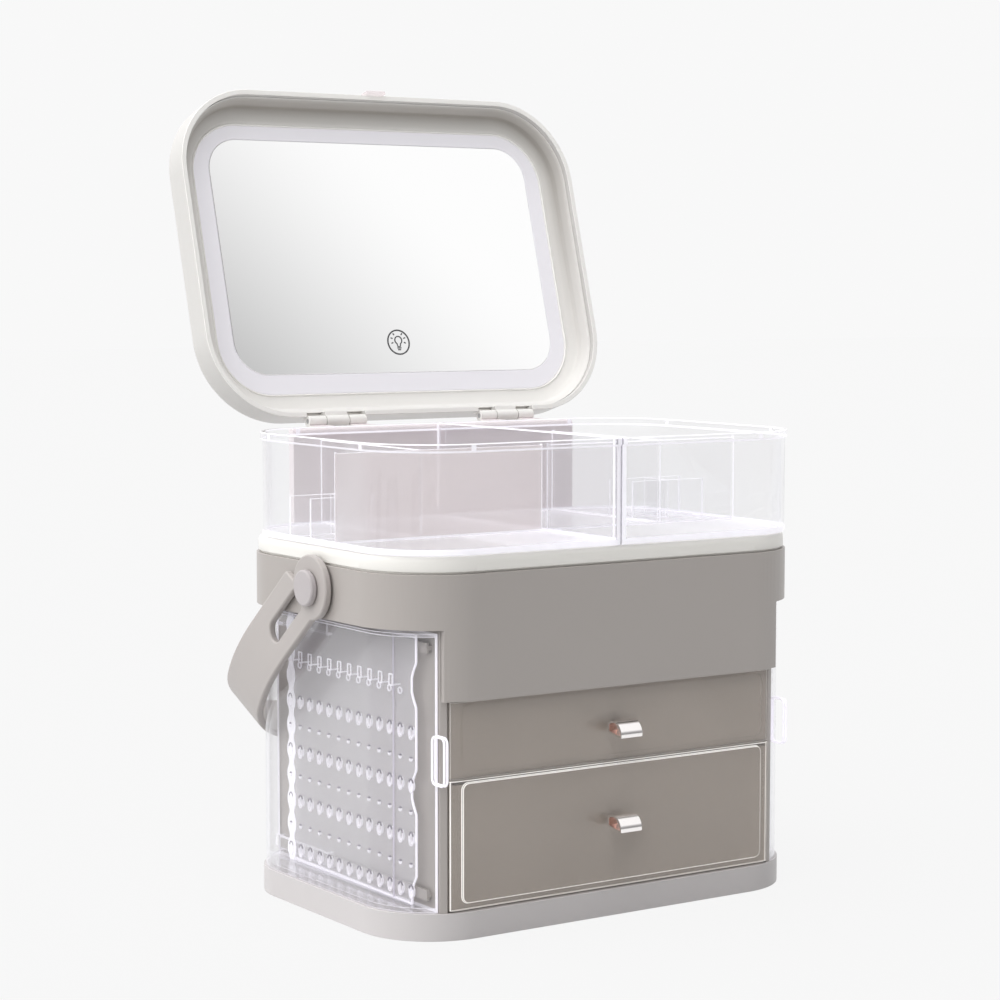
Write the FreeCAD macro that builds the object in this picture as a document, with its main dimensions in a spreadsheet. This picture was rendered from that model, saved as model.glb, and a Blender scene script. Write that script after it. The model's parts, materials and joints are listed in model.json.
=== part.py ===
import FreeCAD, Part
import math
import os
import re
import Sketcher

# A carry case for make-up: clear trays on top under a hinged mirror lid, two smoked
# drawers in front, a clear jewellery rack on rails at each side and a swinging handle.
# Origin: middle of the base on the surface it stands on. X runs along the front,
# Y to the back, Z up. The lid stands open and the handle hangs behind the case.

doc = FreeCAD.newDocument("makeup_case")
sheet = doc.addObject("Spreadsheet::Sheet", "Sizes")

SIZES = {
    # base and feet
    "base_width": 290, "base_depth": 196, "base_corner": 46, "base_top": 15.5,
    "base_wall": 3, "cover_thick": 2.4, "post_radius": 5, "foot_thick": 1.4, "foot_radius": 8,
    "foot_end": 33, "foot_side": 32, "screw_head": 1.8, "screw_grip": 8, "screw_end": 50,
    # upper shell and deck
    "shell_out": 3, "shell_wall": 2.6, "shell_bottom": 175, "shell_top": 206,
    "apron_bottom": 135, "seat_depth": 3, "deck_top": 216, "deck_plate": 3, "trim_inset": 1.2,
    # core that carries the drawers and racks
    "rack_depth": 26, "core_wall": 4, "back_wall": 2.5, "shelf_top": 90.4, "shelf_set": 2,
    "shelf_thick": 2, "strip_thick": 0.6, "strip_width": 8, "strip_inset": 12,
    # clearances
    "slide_gap": 0.3, "side_gap": 1.2, "fit_gap": 0.2, "run_gap": 0.1,
    # drawers
    "drawer_wall": 2, "drawer_rear": 6, "face_thick": 4, "face_step": 1.4, "face_gap": 0.8,
    "panel_edge": 7, "panel_top": 1.5, "panel_low": 4, "panel_corner": 4,
    "upper_pull_height": 110.5, "lower_pull_height": 55.5,
    "pull_width": 15, "pull_reach": 13, "pull_wall": 1.2, "pull_screw": 1.5,
    "pull_rise": 3, "pull_crown": 4.2, "pull_lip": 4.4, "pull_belly": 3.6, "pull_foot": 2.4,
    # side racks
    "rack_inset": 1.5, "rack_clear": 2, "rack_wall": 2, "rack_panel_set": 4.8, "rack_panel_thick": 1.6,
    "panel_end": 25, "panel_ahead": 4, "hole_width": 5.6, "hole_height": 9, "row_pitch": 30.2,
    "first_row": 25, "hook_height": 142.5, "hook_reach": 7, "hook_width": 2.4, "hook_rise": 6,
    "rail_head": 3, "rail_stem": 1.2, "rail_depth": 1.6, "rail_rise": 9, "rail_end": 14,
    "shoe_length": 60, "shoe_rim": 2, "loop_height": 26, "loop_width": 6, "loop_reach": 7.5,
    "loop_bar": 1.8, "loop_middle": 104,
    # trays
    "tray_side_set": 1.5, "tray_front_set": 1, "tray_back_set": 7.5, "tray_corner_set": 3,
    "tray_wall": 2.2, "tray_floor": 2.2, "tray_top": 278, "rim_height": 4.4, "rim_out": 1.2,
    "nest_inset": 3.6, "seam_gap": 0.4, "cross_wall": 22, "side_cell_width": 60.5, "inner_wall": 1.6,
    "inner_wall_low": 8, "comb_height": 24, "comb_front": 6, "comb_back": 30,
    # hinge and tower
    "tower_end": 40, "tower_thick": 5.8, "tower_low": 0.5, "hinge_out": 12.6, "hinge_up": 2.2,
    "knuckle_radius": 3.4, "pin_radius": 1.5, "hinge_offset": 64, "knuckle_long": 16,
    "knuckle_gap": 0.6, "knuckle_short": 12, "arm_drop": 9, "arm_gap": 2.4, "notch_over": 1.6,
    # lid, measured closed
    "lid_open": 106, "lid_side_set": 0.5, "lid_over": 1, "lid_back_set": 2.6, "lid_corner": 54,
    "lid_clear": 0.5, "lid_depth": 25.5, "lid_round": 9, "lid_lip": 3.2,
    "mirror_set": 16.5, "frame_thick": 2.2, "lid_skin": 2.4, "lid_cavity_inset": 10,
    "ledge_side": 16, "ledge_end": 18.3, "ledge_turn": 20, "band_side": 11.1, "band_end": 10.9,
    "band_turn": 12, "mirror_thick": 2, "mirror_shift": 1.75, "diffuser_thick": 1.6,
    "latch_width": 14, "latch_out": 2.4, "latch_height": 10,
    "touch_radius": 8.5, "touch_up": 22, "touch_thick": 0.2, "touch_line": 0.8,
    "backer_thick": 1, "battery_long": 80, "battery_wide": 44, "battery_thick": 3,
    "board_long": 40, "board_wide": 26, "board_thick": 1.6, "socket_wide": 8, "socket_high": 2.8,
    "socket_deep": 6, "backer_lap": 3, "strip_set": 3,
    # handle
    "pivot_y": -7.5, "pivot_z": 192.5, "pin_shaft": 5.8, "cap_radius": 10.5, "cap_thick": 4,
    "flange_rim": 3, "flange_thick": 3, "handle_gap": 1.2, "handle_thick": 4.3, "handle_angle": 38.9,
    "eye_radius": 19, "arm_short": 38, "arm_bow_radius": 215, "arm_bow_angle": 16, "bend_radius": 64,
    "band_width": 42.6, "band_skew": 26.5, "band_offset": 4, "slot_start": 11, "slot_end": 56.4,
    "slot_width": 13.4, "slot_offset": 2.4,
}
# sizes that follow from the ones above, so that pieces which fit together move together
FOLLOWS = {
    "foot_inset_x": "(base_width / 2 - foot_end)",
    "foot_inset_y": "(base_depth / 2 - foot_side)",
    "screw_spot": "(base_depth / 2 - screw_end)",
    "deck_seat": "(deck_top - seat_depth)",
    "core_half": "(base_width / 2 - rack_depth)",
    "rack_top": "(shell_bottom - rack_clear)",
    "rack_panel_half": "(base_depth / 2 - panel_end)",
    "hole_pitch": "(rack_panel_half / 6.4)",
    "rack_panel_back": "(rack_panel_half - panel_ahead)",
    "rack_panel_front": "(-rack_panel_half - panel_ahead)",
    "rail_low": "(base_top + rail_rise)",
    "rail_high": "(rack_top - rail_rise)",
    "rail_reach": "(base_depth / 2 - rail_end)",
    "tray_half_width": "(base_width / 2 + shell_out - tray_side_set)",
    "tray_front": "(base_depth / 2 + shell_out - tray_front_set)",
    "tray_back": "(base_depth / 2 + shell_out - tray_back_set)",
    "tray_corner": "(base_corner + shell_out - tray_corner_set)",
    "inner_wall_top": "(tray_top - inner_wall_low)",
    "side_cell": "(tray_half_width - side_cell_width)",
    "tower_half": "(base_width / 2 - tower_end)",
    "tower_front": "(base_depth / 2 + shell_out - tower_thick)",
    "tower_top": "(tray_top - tower_low)",
    "hinge_y": "(base_depth / 2 + shell_out + hinge_out)",
    "hinge_z": "(tray_top + hinge_up)",
    "lid_rim": "(tray_top + lid_clear)",
    "lid_front": "(base_depth / 2 + shell_out + lid_over)",
    "lid_half_width": "(base_width / 2 + shell_out - lid_side_set)",
    "lid_half_depth": "((lid_front + hinge_y - lid_back_set) / 2)",
    "led_half_width": "(lid_half_width - ledge_side)",
    "led_half_depth": "(lid_half_depth - ledge_end)",
    "led_corner": "(lid_corner - ledge_turn)",
    "mirror_half_width": "(led_half_width - band_side)",
    "mirror_half_depth": "(led_half_depth - band_end)",
    "mirror_corner": "(led_corner - band_turn)",
}
for row, (alias, value) in enumerate(SIZES.items(), start=1):
    sheet.set(f"A{row}", alias)
    sheet.set(f"B{row}", str(value))
    sheet.setAlias(f"B{row}", alias)
doc.recompute()


def size(alias):
    return float(sheet.get(alias))


def bound(text):
    """An expression with what follows written out and each size's name pointing at its cell."""
    def cell(found):
        name = found.group(0)
        return bound(FOLLOWS[name]) if name in FOLLOWS else "Sizes." + name
    return re.sub(r"[a-z]+(?:_[a-z]+)+", cell, text)


def bind(item, **settings):
    for prop, text in settings.items():
        item.setExpression(prop.replace("__", "."), bound(str(text)))
    return item


def place(item, x="0", y="0", z="0"):
    return bind(item, Placement__Base__x=x, Placement__Base__y=y, Placement__Base__z=z)


def box(x0, x1, y0, y1, z0, z1):
    """A block between two corners, each given as an expression."""
    item = doc.addObject("Part::Box", "Block")
    bind(item, Length=f"({x1}) - ({x0})", Width=f"({y1}) - ({y0})", Height=f"({z1}) - ({z0})")
    return place(item, x0, y0, z0)


def rod(radius, length, x, y, z, axis="z"):
    """A cylinder that starts at a point and runs along an axis."""
    item = doc.addObject("Part::Cylinder", "Rod")
    bind(item, Radius=radius, Height=length)
    turn = {"z": (0, 0, 0), "x": (0, 90, 0), "y": (0, 0, -90)}[axis]
    item.Placement = FreeCAD.Placement(FreeCAD.Vector(), FreeCAD.Rotation(*turn))
    return place(item, x, y, z)


def rounded(half_x, half_y, corner, z0, z1, x="0", y="0"):
    """An upright block with four round corners, drawn as a constrained sketch and padded."""
    body = doc.addObject("PartDesign::Body", "RoundedBlock")
    sketch = body.newObject("Sketcher::SketchObject", "Outline")
    ground = next(o for o in body.Origin.OriginFeatures if o.Role == "XY_Plane")
    sketch.AttachmentSupport = [(ground, "")]
    sketch.MapMode = "FlatFace"
    a, b, r = 50.0, 40.0, 10.0
    corners = [(a - r, -b + r, -90), (a - r, b - r, 0), (-a + r, b - r, 90), (-a + r, -b + r, 180)]
    ends = [((-a + r, -b), (a - r, -b)), ((a, -b + r), (a, b - r)),
            ((a - r, b), (-a + r, b)), ((-a, b - r), (-a, -b + r))]
    for start, end in ends:
        sketch.addGeometry(Part.LineSegment(FreeCAD.Vector(*start, 0), FreeCAD.Vector(*end, 0)))
    for cx, cy, turn in corners:
        circle = Part.Circle(FreeCAD.Vector(cx, cy, 0), FreeCAD.Vector(0, 0, 1), r)
        sketch.addGeometry(Part.ArcOfCircle(circle, math.radians(turn), math.radians(turn + 90)))
    for side in range(4):
        arc = 4 + side
        sketch.addConstraint(Sketcher.Constraint("Tangent", side, 2, arc, 1))
        sketch.addConstraint(Sketcher.Constraint("Tangent", arc, 2, (side + 1) % 4, 1))
    for level, upright in ((0, 1), (2, 3)):
        sketch.addConstraint(Sketcher.Constraint("Horizontal", level))
        sketch.addConstraint(Sketcher.Constraint("Vertical", upright))
    for arc in (5, 6, 7):
        sketch.addConstraint(Sketcher.Constraint("Equal", 4, arc))
    sketch.addConstraint(Sketcher.Constraint("Symmetric", 4, 3, 6, 3, -1, 1))
    span = sketch.addConstraint(Sketcher.Constraint("DistanceX", 2, 2, 2, 1, 2 * (a - r)))
    depth = sketch.addConstraint(Sketcher.Constraint("DistanceY", 1, 1, 1, 2, 2 * (b - r)))
    bend = sketch.addConstraint(Sketcher.Constraint("Radius", 4, r))
    sketch.setExpression(f"Constraints[{span}]", bound(f"2 * (({half_x}) - ({corner}))"))
    sketch.setExpression(f"Constraints[{depth}]", bound(f"2 * (({half_y}) - ({corner}))"))
    sketch.setExpression(f"Constraints[{bend}]", bound(corner))
    pad = body.newObject("PartDesign::Pad", "Pad")
    pad.Profile = sketch
    bind(pad, Length=f"({z1}) - ({z0})")
    return place(body, x, y, z0)


def cut(base, *tools):
    item = doc.addObject("Part::Cut", "Cut")
    item.Base = base
    item.Tool = tools[0] if len(tools) == 1 else fuse(*tools)
    return item


def fuse(*pieces):
    item = doc.addObject("Part::MultiFuse", "Fuse")
    item.Shapes = list(pieces)
    return item


def common(first, second):
    item = doc.addObject("Part::Common", "Common")
    item.Base = first
    item.Tool = second
    return item


def group(*pieces):
    item = doc.addObject("Part::Compound", "Group")
    item.Links = list(pieces)
    return item


nodes = []


def node(label, item):
    item.Label = label
    nodes.append(item)
    return item


def mirrored(label, item):
    """The same piece on the other side of the case's middle plane."""
    twin = doc.addObject("Part::Mirroring", "Mirror")
    twin.Source = item
    twin.Base = FreeCAD.Vector()
    twin.Normal = FreeCAD.Vector(1, 0, 0)
    return node(label, twin)


BASE_X = "base_width / 2"
BASE_Y = "base_depth / 2"
SHELL_X = "(base_width / 2 + shell_out)"
SHELL_Y = "(base_depth / 2 + shell_out)"
SHELL_R = "(base_corner + shell_out)"
TRIM_X = "(base_width / 2 + shell_out - trim_inset)"
TRIM_Y = "(base_depth / 2 + shell_out - trim_inset)"
TRIM_R = "(base_corner + shell_out - trim_inset)"
CORE_Y = "(base_depth / 2 - face_thick)"
CORE_TOP = "deck_seat - deck_plate"


def within_trim(z0, z1):
    """The room inside the trim ring, whose round corners the core follows."""
    return rounded(f"{TRIM_X} - shell_wall", f"{TRIM_Y} - shell_wall", f"{TRIM_R} - shell_wall", z0, z1)


def base():
    block = rounded(BASE_X, BASE_Y, "base_corner", "0", "base_top")
    hollow = rounded(f"{BASE_X} - base_wall", f"{BASE_Y} - base_wall", "base_corner - base_wall",
                     "-1", "base_top - base_wall")
    spots = [(sx, sy) for sx in (-1, 1) for sy in (-1, 1)]
    posts = [rod("post_radius", "base_top - base_wall - cover_thick + 1", f"{sx} * foot_inset_x",
                 f"{sy} * foot_inset_y", "cover_thick") for sx, sy in spots]
    wells = [rod("pin_radius", "base_wall + 2", f"{sx} * (core_half - core_wall / 2)",
                 f"{sy} * screw_spot", "base_top - base_wall - 1") for sx, sy in spots]
    node("base_plate", cut(fuse(cut(block, hollow), *posts), *wells))
    inset = "(base_wall + fit_gap)"
    cover = rounded(f"{BASE_X} - {inset}", f"{BASE_Y} - {inset}", f"base_corner - {inset}", "0", "cover_thick")
    sockets = [rod("foot_radius", "foot_thick + 1", f"{sx} * foot_inset_x", f"{sy} * foot_inset_y", "-1")
               for sx, sy in spots]
    node("base_cover", cut(cover, *sockets))
    feet = [rod("foot_radius - fit_gap / 2", "foot_thick", f"{sx} * foot_inset_x", f"{sy} * foot_inset_y", "0")
            for sx, sy in spots]
    node("base_feet", group(*feet))
    screws = []
    for sx, sy in spots:
        spot = (f"{sx} * (core_half - core_wall / 2)", f"{sy} * screw_spot")
        head = rod("2 * pin_radius", "screw_head", *spot, "base_top - base_wall - screw_head")
        shank = rod("pin_radius", "base_wall + screw_grip", *spot, "base_top - base_wall")
        screws.append(fuse(head, shank))
    node("base_screws", group(*screws))


def core():
    wall = box("-core_half", "core_wall - core_half", f"-{CORE_Y}", CORE_Y, "base_top", CORE_TOP)
    pilots = [rod("pin_radius", "screw_grip + 1", "core_wall / 2 - core_half", f"{sy} * screw_spot",
                  "base_top - 1") for sy in (-1, 1)]
    left = node("core_left_wall", cut(common(wall, within_trim("base_top", CORE_TOP)), *pilots))
    mirrored("core_right_wall", left)
    inner = "(core_half - core_wall)"
    panel = box("-core_half", "core_half", CORE_Y, f"{CORE_Y} + back_wall", "base_top", CORE_TOP)
    node("back_panel", common(panel, within_trim("base_top", CORE_TOP)))
    node("drawer_shelf", box(f"-{inner}", inner, f"shelf_set - {CORE_Y}", CORE_Y,
                             "shelf_top - shelf_thick", "shelf_top"))
    strips = []
    for floor in ("base_top", "shelf_top"):
        for side in (-1, 1):
            middle = f"{side} * ({inner} - strip_inset)"
            strips.append(box(f"{middle} - strip_width / 2", f"{middle} + strip_width / 2",
                              f"2 * shelf_set - {CORE_Y}", CORE_Y, floor, f"{floor} + strip_thick"))
    node("slide_strips", group(*strips))


def shell():
    outer = rounded(SHELL_X, SHELL_Y, SHELL_R, "shell_bottom", "shell_top")
    inner = rounded(f"{SHELL_X} - shell_wall", f"{SHELL_Y} - shell_wall", f"{SHELL_R} - shell_wall",
                    "shell_bottom - 1", "shell_top + 1")
    ring = cut(outer, inner)
    band_top = "shell_bottom + shell_wall"
    band = cut(rounded(SHELL_X, SHELL_Y, SHELL_R, "apron_bottom", band_top),
               rounded(f"{SHELL_X} - shell_wall", f"{SHELL_Y} - shell_wall", f"{SHELL_R} - shell_wall",
                       "apron_bottom - 1", f"{band_top} + 1"))
    apron = common(band, box("-core_half", "core_half", f"-{SHELL_Y} - 1", "0", "apron_bottom", band_top))
    holes = rod("pin_shaft", f"2 * {SHELL_X} + 2", f"-{SHELL_X} - 1", "pivot_y", "pivot_z", "x")
    node("upper_shell", cut(fuse(ring, apron), holes))
    block = rounded(TRIM_X, TRIM_Y, TRIM_R, "shell_top", "deck_top")
    lower = within_trim("shell_top - 1", CORE_TOP)
    seat = rounded("tray_half_width - nest_inset + slide_gap",
                   "(tray_front + tray_back) / 2 - nest_inset + slide_gap",
                   "tray_corner - nest_inset + slide_gap", "deck_seat", "deck_top + 1",
                   y="(tray_back - tray_front) / 2")
    node("top_deck", cut(block, lower, seat))


def knuckle(start, length, bore):
    """One hinge barrel about the lid's axis, bored for the pin."""
    barrel = rod("knuckle_radius", length, start, "hinge_y", "hinge_z", "x")
    hole = rod(bore, f"{length} + 2", f"{start} - 1", "hinge_y", "hinge_z", "x")
    return barrel, hole


def tower():
    """The wall behind the trays that carries the lid, with the fixed half of each hinge."""
    wall = box("-tower_half", "tower_half", "tower_front", SHELL_Y, "deck_top", "tower_top")
    pieces, holes = [wall], []
    for side in (-1, 1):
        for end in (-1, 1):
            middle = f"({side} * hinge_offset + {end} * (knuckle_long + knuckle_short + 2 * knuckle_gap) / 2)"
            start = f"{middle} - knuckle_short / 2"
            barrel, hole = knuckle(start, "knuckle_short", "pin_radius")
            arm = box(start, f"{start} + knuckle_short", f"{SHELL_Y} - 1", "hinge_y",
                      "tower_top - arm_drop", "hinge_z - arm_gap")
            pieces += [barrel, arm]
            holes.append(hole)
    node("hinge_tower", cut(fuse(*pieces), *holes))
    pins = []
    reach = "(knuckle_long + 2 * knuckle_short + 2 * knuckle_gap)"
    for side in (-1, 1):
        pins.append(rod("pin_radius", reach, f"{side} * hinge_offset - {reach} / 2", "hinge_y", "hinge_z", "x"))
    node("hinge_pins", group(*pins))


def trays():
    half_y = "(tray_front + tray_back) / 2"
    middle = "(tray_back - tray_front) / 2"
    skirt = rounded("tray_half_width", half_y, "tray_corner", "deck_top + fit_gap", "tray_top", y=middle)
    rim = rounded("tray_half_width + rim_out", f"{half_y} + rim_out", "tray_corner + rim_out",
                  "tray_top - rim_height", "tray_top", y=middle)
    nest = rounded("tray_half_width - nest_inset", f"{half_y} - nest_inset", "tray_corner - nest_inset",
                   "deck_seat + fit_gap", "deck_top + fit_gap", y=middle)
    solid = fuse(skirt, rim, nest)
    room = rounded("tray_half_width - tray_wall", f"{half_y} - tray_wall", "tray_corner - tray_wall",
                   "deck_top + tray_floor", "tray_top + 1", y=middle)
    pan = cut(solid, room)
    side = box("-tray_half_width - rim_out - 1", "-seam_gap", "-tray_front - rim_out - 1",
               "tray_back + rim_out + 1", "deck_seat", "tray_top + 1")
    edge = common(solid, box("-seam_gap - tray_wall", "-seam_gap", "-tray_front - rim_out - 1",
                             "tray_back + rim_out + 1", "deck_seat", "tray_top"))
    floor = "deck_top + tray_floor - 1"
    cross = box("tray_wall / 2 - tray_half_width", "-seam_gap - 1", "-cross_wall - inner_wall", "-cross_wall",
                floor, "inner_wall_top")
    cell = box("-side_cell - inner_wall", "-side_cell", "-cross_wall - 1", "tray_back - tray_wall / 2",
               floor, "inner_wall_top")
    left = node("left_tray", fuse(common(pan, side), edge, cross, cell))
    mirrored("right_tray", left)
    foot = "deck_top + tray_floor"
    reach0 = "tray_wall + slide_gap - tray_half_width"
    reach1 = "-side_cell - inner_wall - slide_gap"
    bars = [box(reach0, reach1, f"{at}", f"{at} + inner_wall", foot, f"{foot} + comb_height")
            for at in ("comb_front", "comb_back")]
    half = f"(({reach0}) + ({reach1})) / 2"
    bars.append(box(f"{half} - inner_wall / 2", f"{half} + inner_wall / 2", "comb_front", "comb_back + 1",
                    foot, f"{foot} + comb_height"))
    comb = node("left_tray_comb", fuse(*bars))
    mirrored("right_tray_comb", comb)


LID_Y = "(lid_half_depth - lid_front - hinge_y)"
LID_RIM = "(lid_rim - hinge_z)"
LID_TOP = "(lid_rim - hinge_z + lid_depth)"
MIRROR = "(lid_rim - hinge_z + mirror_set)"


def on_lid(label, item):
    """A lid piece is drawn closed about the hinge axis, then swung open with the lid."""
    item = group(item)
    item.Placement = FreeCAD.Placement(FreeCAD.Vector(), FreeCAD.Rotation(FreeCAD.Vector(1, 0, 0), -10))
    bind(item, Placement__Base__y="hinge_y", Placement__Base__z="hinge_z",
         Placement__Rotation__Angle="-lid_open")
    return node(label, item)


def lid_shell():
    outer = rounded("lid_half_width", "lid_half_depth", "lid_corner", LID_RIM, LID_TOP, y=LID_Y)
    doc.recompute()
    pad = outer.Tip
    top = max(range(len(pad.Shape.Faces)), key=lambda i: pad.Shape.Faces[i].CenterOfMass.z)
    soft = outer.newObject("PartDesign::Fillet", "Shoulder")
    soft.Base = (pad, [f"Face{top + 1}"])
    bind(soft, Radius="lid_round")
    wide = rounded("lid_half_width - lid_lip", "lid_half_depth - lid_lip", "lid_corner - lid_lip",
                   f"{LID_RIM} - 1", f"{MIRROR} + frame_thick", y=LID_Y)
    deep = rounded("lid_half_width - lid_cavity_inset", "lid_half_depth - lid_cavity_inset",
                   "lid_corner - lid_cavity_inset", MIRROR, f"{LID_TOP} - lid_skin", y=LID_Y)
    floor = f"({MIRROR} + frame_thick + backer_thick)"
    back = f"({LID_Y} + lid_half_depth)"
    port = box("-socket_wide / 2 - fit_gap", "socket_wide / 2 + fit_gap", f"{back} - lid_cavity_inset - 1",
               f"{back} + 1", floor, f"{floor} + socket_high")
    tools = [wide, deep, port]
    lugs = []
    for side in (-1, 1):
        start = f"{side} * hinge_offset - knuckle_long / 2"
        lugs.append(rod("knuckle_radius", "knuckle_long", start, "0", "0", "x"))
        lugs.append(box(start, f"{start} + knuckle_long", f"{back} - lid_lip / 2", "0", LID_RIM,
                        "knuckle_radius"))
        tools.append(rod("pin_radius + run_gap", "knuckle_long + 2", f"{start} - 1", "0", "0", "x"))
        for end in (-1, 1):
            middle = f"({side} * hinge_offset + {end} * (knuckle_long + knuckle_short + 2 * knuckle_gap) / 2)"
            wide_by = "(knuckle_short / 2 + knuckle_gap)"
            tools.append(box(f"{middle} - {wide_by}", f"{middle} + {wide_by}", f"{back} - lid_lip - 1",
                             "knuckle_radius", f"{LID_RIM} - 1", "knuckle_radius + notch_over"))
    on_lid("lid_shell", cut(fuse(outer, *lugs), *tools))


def lid_inside():
    led = ("led_half_width", "led_half_depth", "led_corner")
    glass = ("mirror_half_width", "mirror_half_depth", "mirror_corner")
    shift = f"({LID_Y} - mirror_shift)"
    ledge = rounded("lid_half_width - lid_lip - fit_gap", "lid_half_depth - lid_lip - fit_gap",
                    "lid_corner - lid_lip - fit_gap", MIRROR, f"{MIRROR} + frame_thick", y=LID_Y)
    window = rounded(*led, f"{MIRROR} - 1", f"{MIRROR} + frame_thick + 1", y=LID_Y)
    on_lid("mirror_frame", cut(ledge, window))
    band = rounded("led_half_width - fit_gap", "led_half_depth - fit_gap", "led_corner - fit_gap",
                   MIRROR, f"{MIRROR} + diffuser_thick", y=LID_Y)
    gap = rounded(*glass, f"{MIRROR} - 1", f"{MIRROR} + diffuser_thick + 1", y=shift)
    on_lid("led_diffuser", cut(band, gap))
    on_lid("mirror_glass", rounded("mirror_half_width - fit_gap", "mirror_half_depth - fit_gap",
                                   "mirror_corner - fit_gap", MIRROR, f"{MIRROR} + mirror_thick", y=shift))
    backer = rounded("led_half_width + backer_lap", "led_half_depth + backer_lap", "led_corner + backer_lap",
                     f"{MIRROR} + frame_thick", f"{MIRROR} + frame_thick + backer_thick", y=LID_Y)
    on_lid("mirror_backer", backer)
    strip_z = f"({MIRROR} + diffuser_thick)"
    strip = cut(rounded("led_half_width - strip_set", "led_half_depth - strip_set", "led_corner - strip_set",
                        strip_z, f"{MIRROR} + frame_thick", y=LID_Y),
                rounded("mirror_half_width + strip_set", "mirror_half_depth + strip_set",
                        "mirror_corner + strip_set", f"{strip_z} - 1", f"{MIRROR} + frame_thick + 1", y=LID_Y))
    on_lid("led_strip", strip)
    floor = f"({MIRROR} + frame_thick + backer_thick)"
    on_lid("battery_pack", box("-battery_long / 2", "battery_long / 2", f"{LID_Y} - battery_wide",
                               LID_Y, floor, f"{floor} + battery_thick"))
    touch_y = f"({LID_Y} + mirror_half_depth - touch_up)"
    on_lid("control_board", box("-board_long / 2", "board_long / 2", f"{touch_y} - board_wide / 2",
                                f"{touch_y} + board_wide / 2", floor, f"{floor} + board_thick"))
    port_y = f"({LID_Y} + lid_half_depth - lid_cavity_inset)"
    mouth = f"{port_y} + lid_cavity_inset - lid_round / 3"
    on_lid("charge_socket", box("-socket_wide / 2", "socket_wide / 2", f"{port_y} - socket_deep", mouth,
                                floor, f"{floor} + socket_high"))
    ring = cut(rod("touch_radius", "touch_thick", "0", touch_y, f"{MIRROR} - touch_thick"),
               rod("touch_radius - touch_line", "1", "0", touch_y, f"{MIRROR} - 0.5"))
    on_lid("touch_ring", ring)
    front = f"({LID_Y} - lid_half_depth)"
    on_lid("lid_latch", box("-latch_width / 2", "latch_width / 2", f"{front} - latch_out", front,
                            f"{LID_RIM} - latch_height / 4", f"{LID_RIM} + latch_height * 3 / 4"))


def handle():
    """A U of moulded strip. Its strip is not square to the arms: it leans so that the palm
    meets it flat, so the U is drawn in its own plane and pushed sideways at a slant."""
    outer_x = size("base_width") / 2 + size("shell_out") + size("handle_gap") + size("handle_thick")
    bow, bow_turn = size("arm_bow_radius"), math.radians(size("arm_bow_angle"))
    bend, thick = size("bend_radius"), size("handle_thick")
    skew = math.radians(size("band_skew"))
    straight = size("base_depth") / 2 - size("arm_short")
    start = size("eye_radius") * 0.3

    def outline(inset):
        x0 = -outer_x + inset
        big, small = bow - inset, bend - inset
        centre = FreeCAD.Vector(x0 + big, 0, straight)
        meet = centre + FreeCAD.Vector(-big * math.cos(bow_turn), 0, big * math.sin(bow_turn))
        half = centre + FreeCAD.Vector(-big * math.cos(bow_turn / 2), 0, big * math.sin(bow_turn / 2))
        hub = meet + FreeCAD.Vector(small * math.cos(bow_turn), 0, -small * math.sin(bow_turn))
        mid_turn = (bow_turn + math.pi / 2) / 2
        knee = hub + FreeCAD.Vector(-small * math.cos(mid_turn), 0, small * math.sin(mid_turn))
        crown = hub + FreeCAD.Vector(0, 0, small)
        return [FreeCAD.Vector(x0, 0, start), FreeCAD.Vector(x0, 0, straight), half, meet, knee, crown]

    def flip(point):
        return FreeCAD.Vector(-point.x, point.y, point.z)

    outside, inside = outline(0), outline(thick)
    edges = []
    for pts in (outside, inside):
        for side in (lambda v: v, flip):
            p = [side(v) for v in pts]
            edges += [Part.makeLine(p[0], p[1]), Part.Arc(p[1], p[2], p[3]).toShape(),
                      Part.Arc(p[3], p[4], p[5]).toShape()]
        edges.append(Part.makeLine(pts[5], flip(pts[5])))
    for side in (lambda v: v, flip):
        edges.append(Part.makeLine(side(outside[0]), side(inside[0])))
    face = Part.Face(Part.Wire(Part.__sortEdges__(edges)))
    width, offset = size("band_width"), size("band_offset")
    across = FreeCAD.Vector(0, math.cos(skew), -math.sin(skew))
    face.translate(across * (-width / 2 - offset))
    band = face.extrude(across * width)
    inner_x = outer_x - thick
    for side in (-1, 1):
        face_x = side * inner_x if side > 0 else -outer_x
        eye = Part.makeCylinder(size("eye_radius"), thick, FreeCAD.Vector(face_x, 0, 0),
                                FreeCAD.Vector(1, 0, 0))
        band = band.fuse(eye)
    for side in (-1, 1):
        bore_x = side * inner_x - 10 if side > 0 else -outer_x - 10
        half = size("slot_width") / 2
        across_x = FreeCAD.Vector(1, 0, 0)
        bore = Part.makeCylinder(size("pin_shaft") + size("run_gap"), thick + 20,
                                 FreeCAD.Vector(bore_x, 0, 0), across_x)
        first, last = size("slot_start") + half, size("slot_end") - half
        shift = -size("slot_offset")
        slot = Part.makeBox(thick + 20, 2 * half, last - first,
                            FreeCAD.Vector(bore_x, shift - half, first))
        for end in (first, last):
            slot = slot.fuse(Part.makeCylinder(half, thick + 20, FreeCAD.Vector(bore_x, shift, end), across_x))
        band = band.cut(bore).cut(slot)
    item = doc.addObject("Part::Feature", "Handle")
    item.Shape = band.removeSplitter()
    item.Placement = FreeCAD.Placement(
        FreeCAD.Vector(0, size("pivot_y"), size("pivot_z")),
        FreeCAD.Rotation(FreeCAD.Vector(1, 0, 0), -90 - size("handle_angle")))
    node("handle_band", item)


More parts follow.
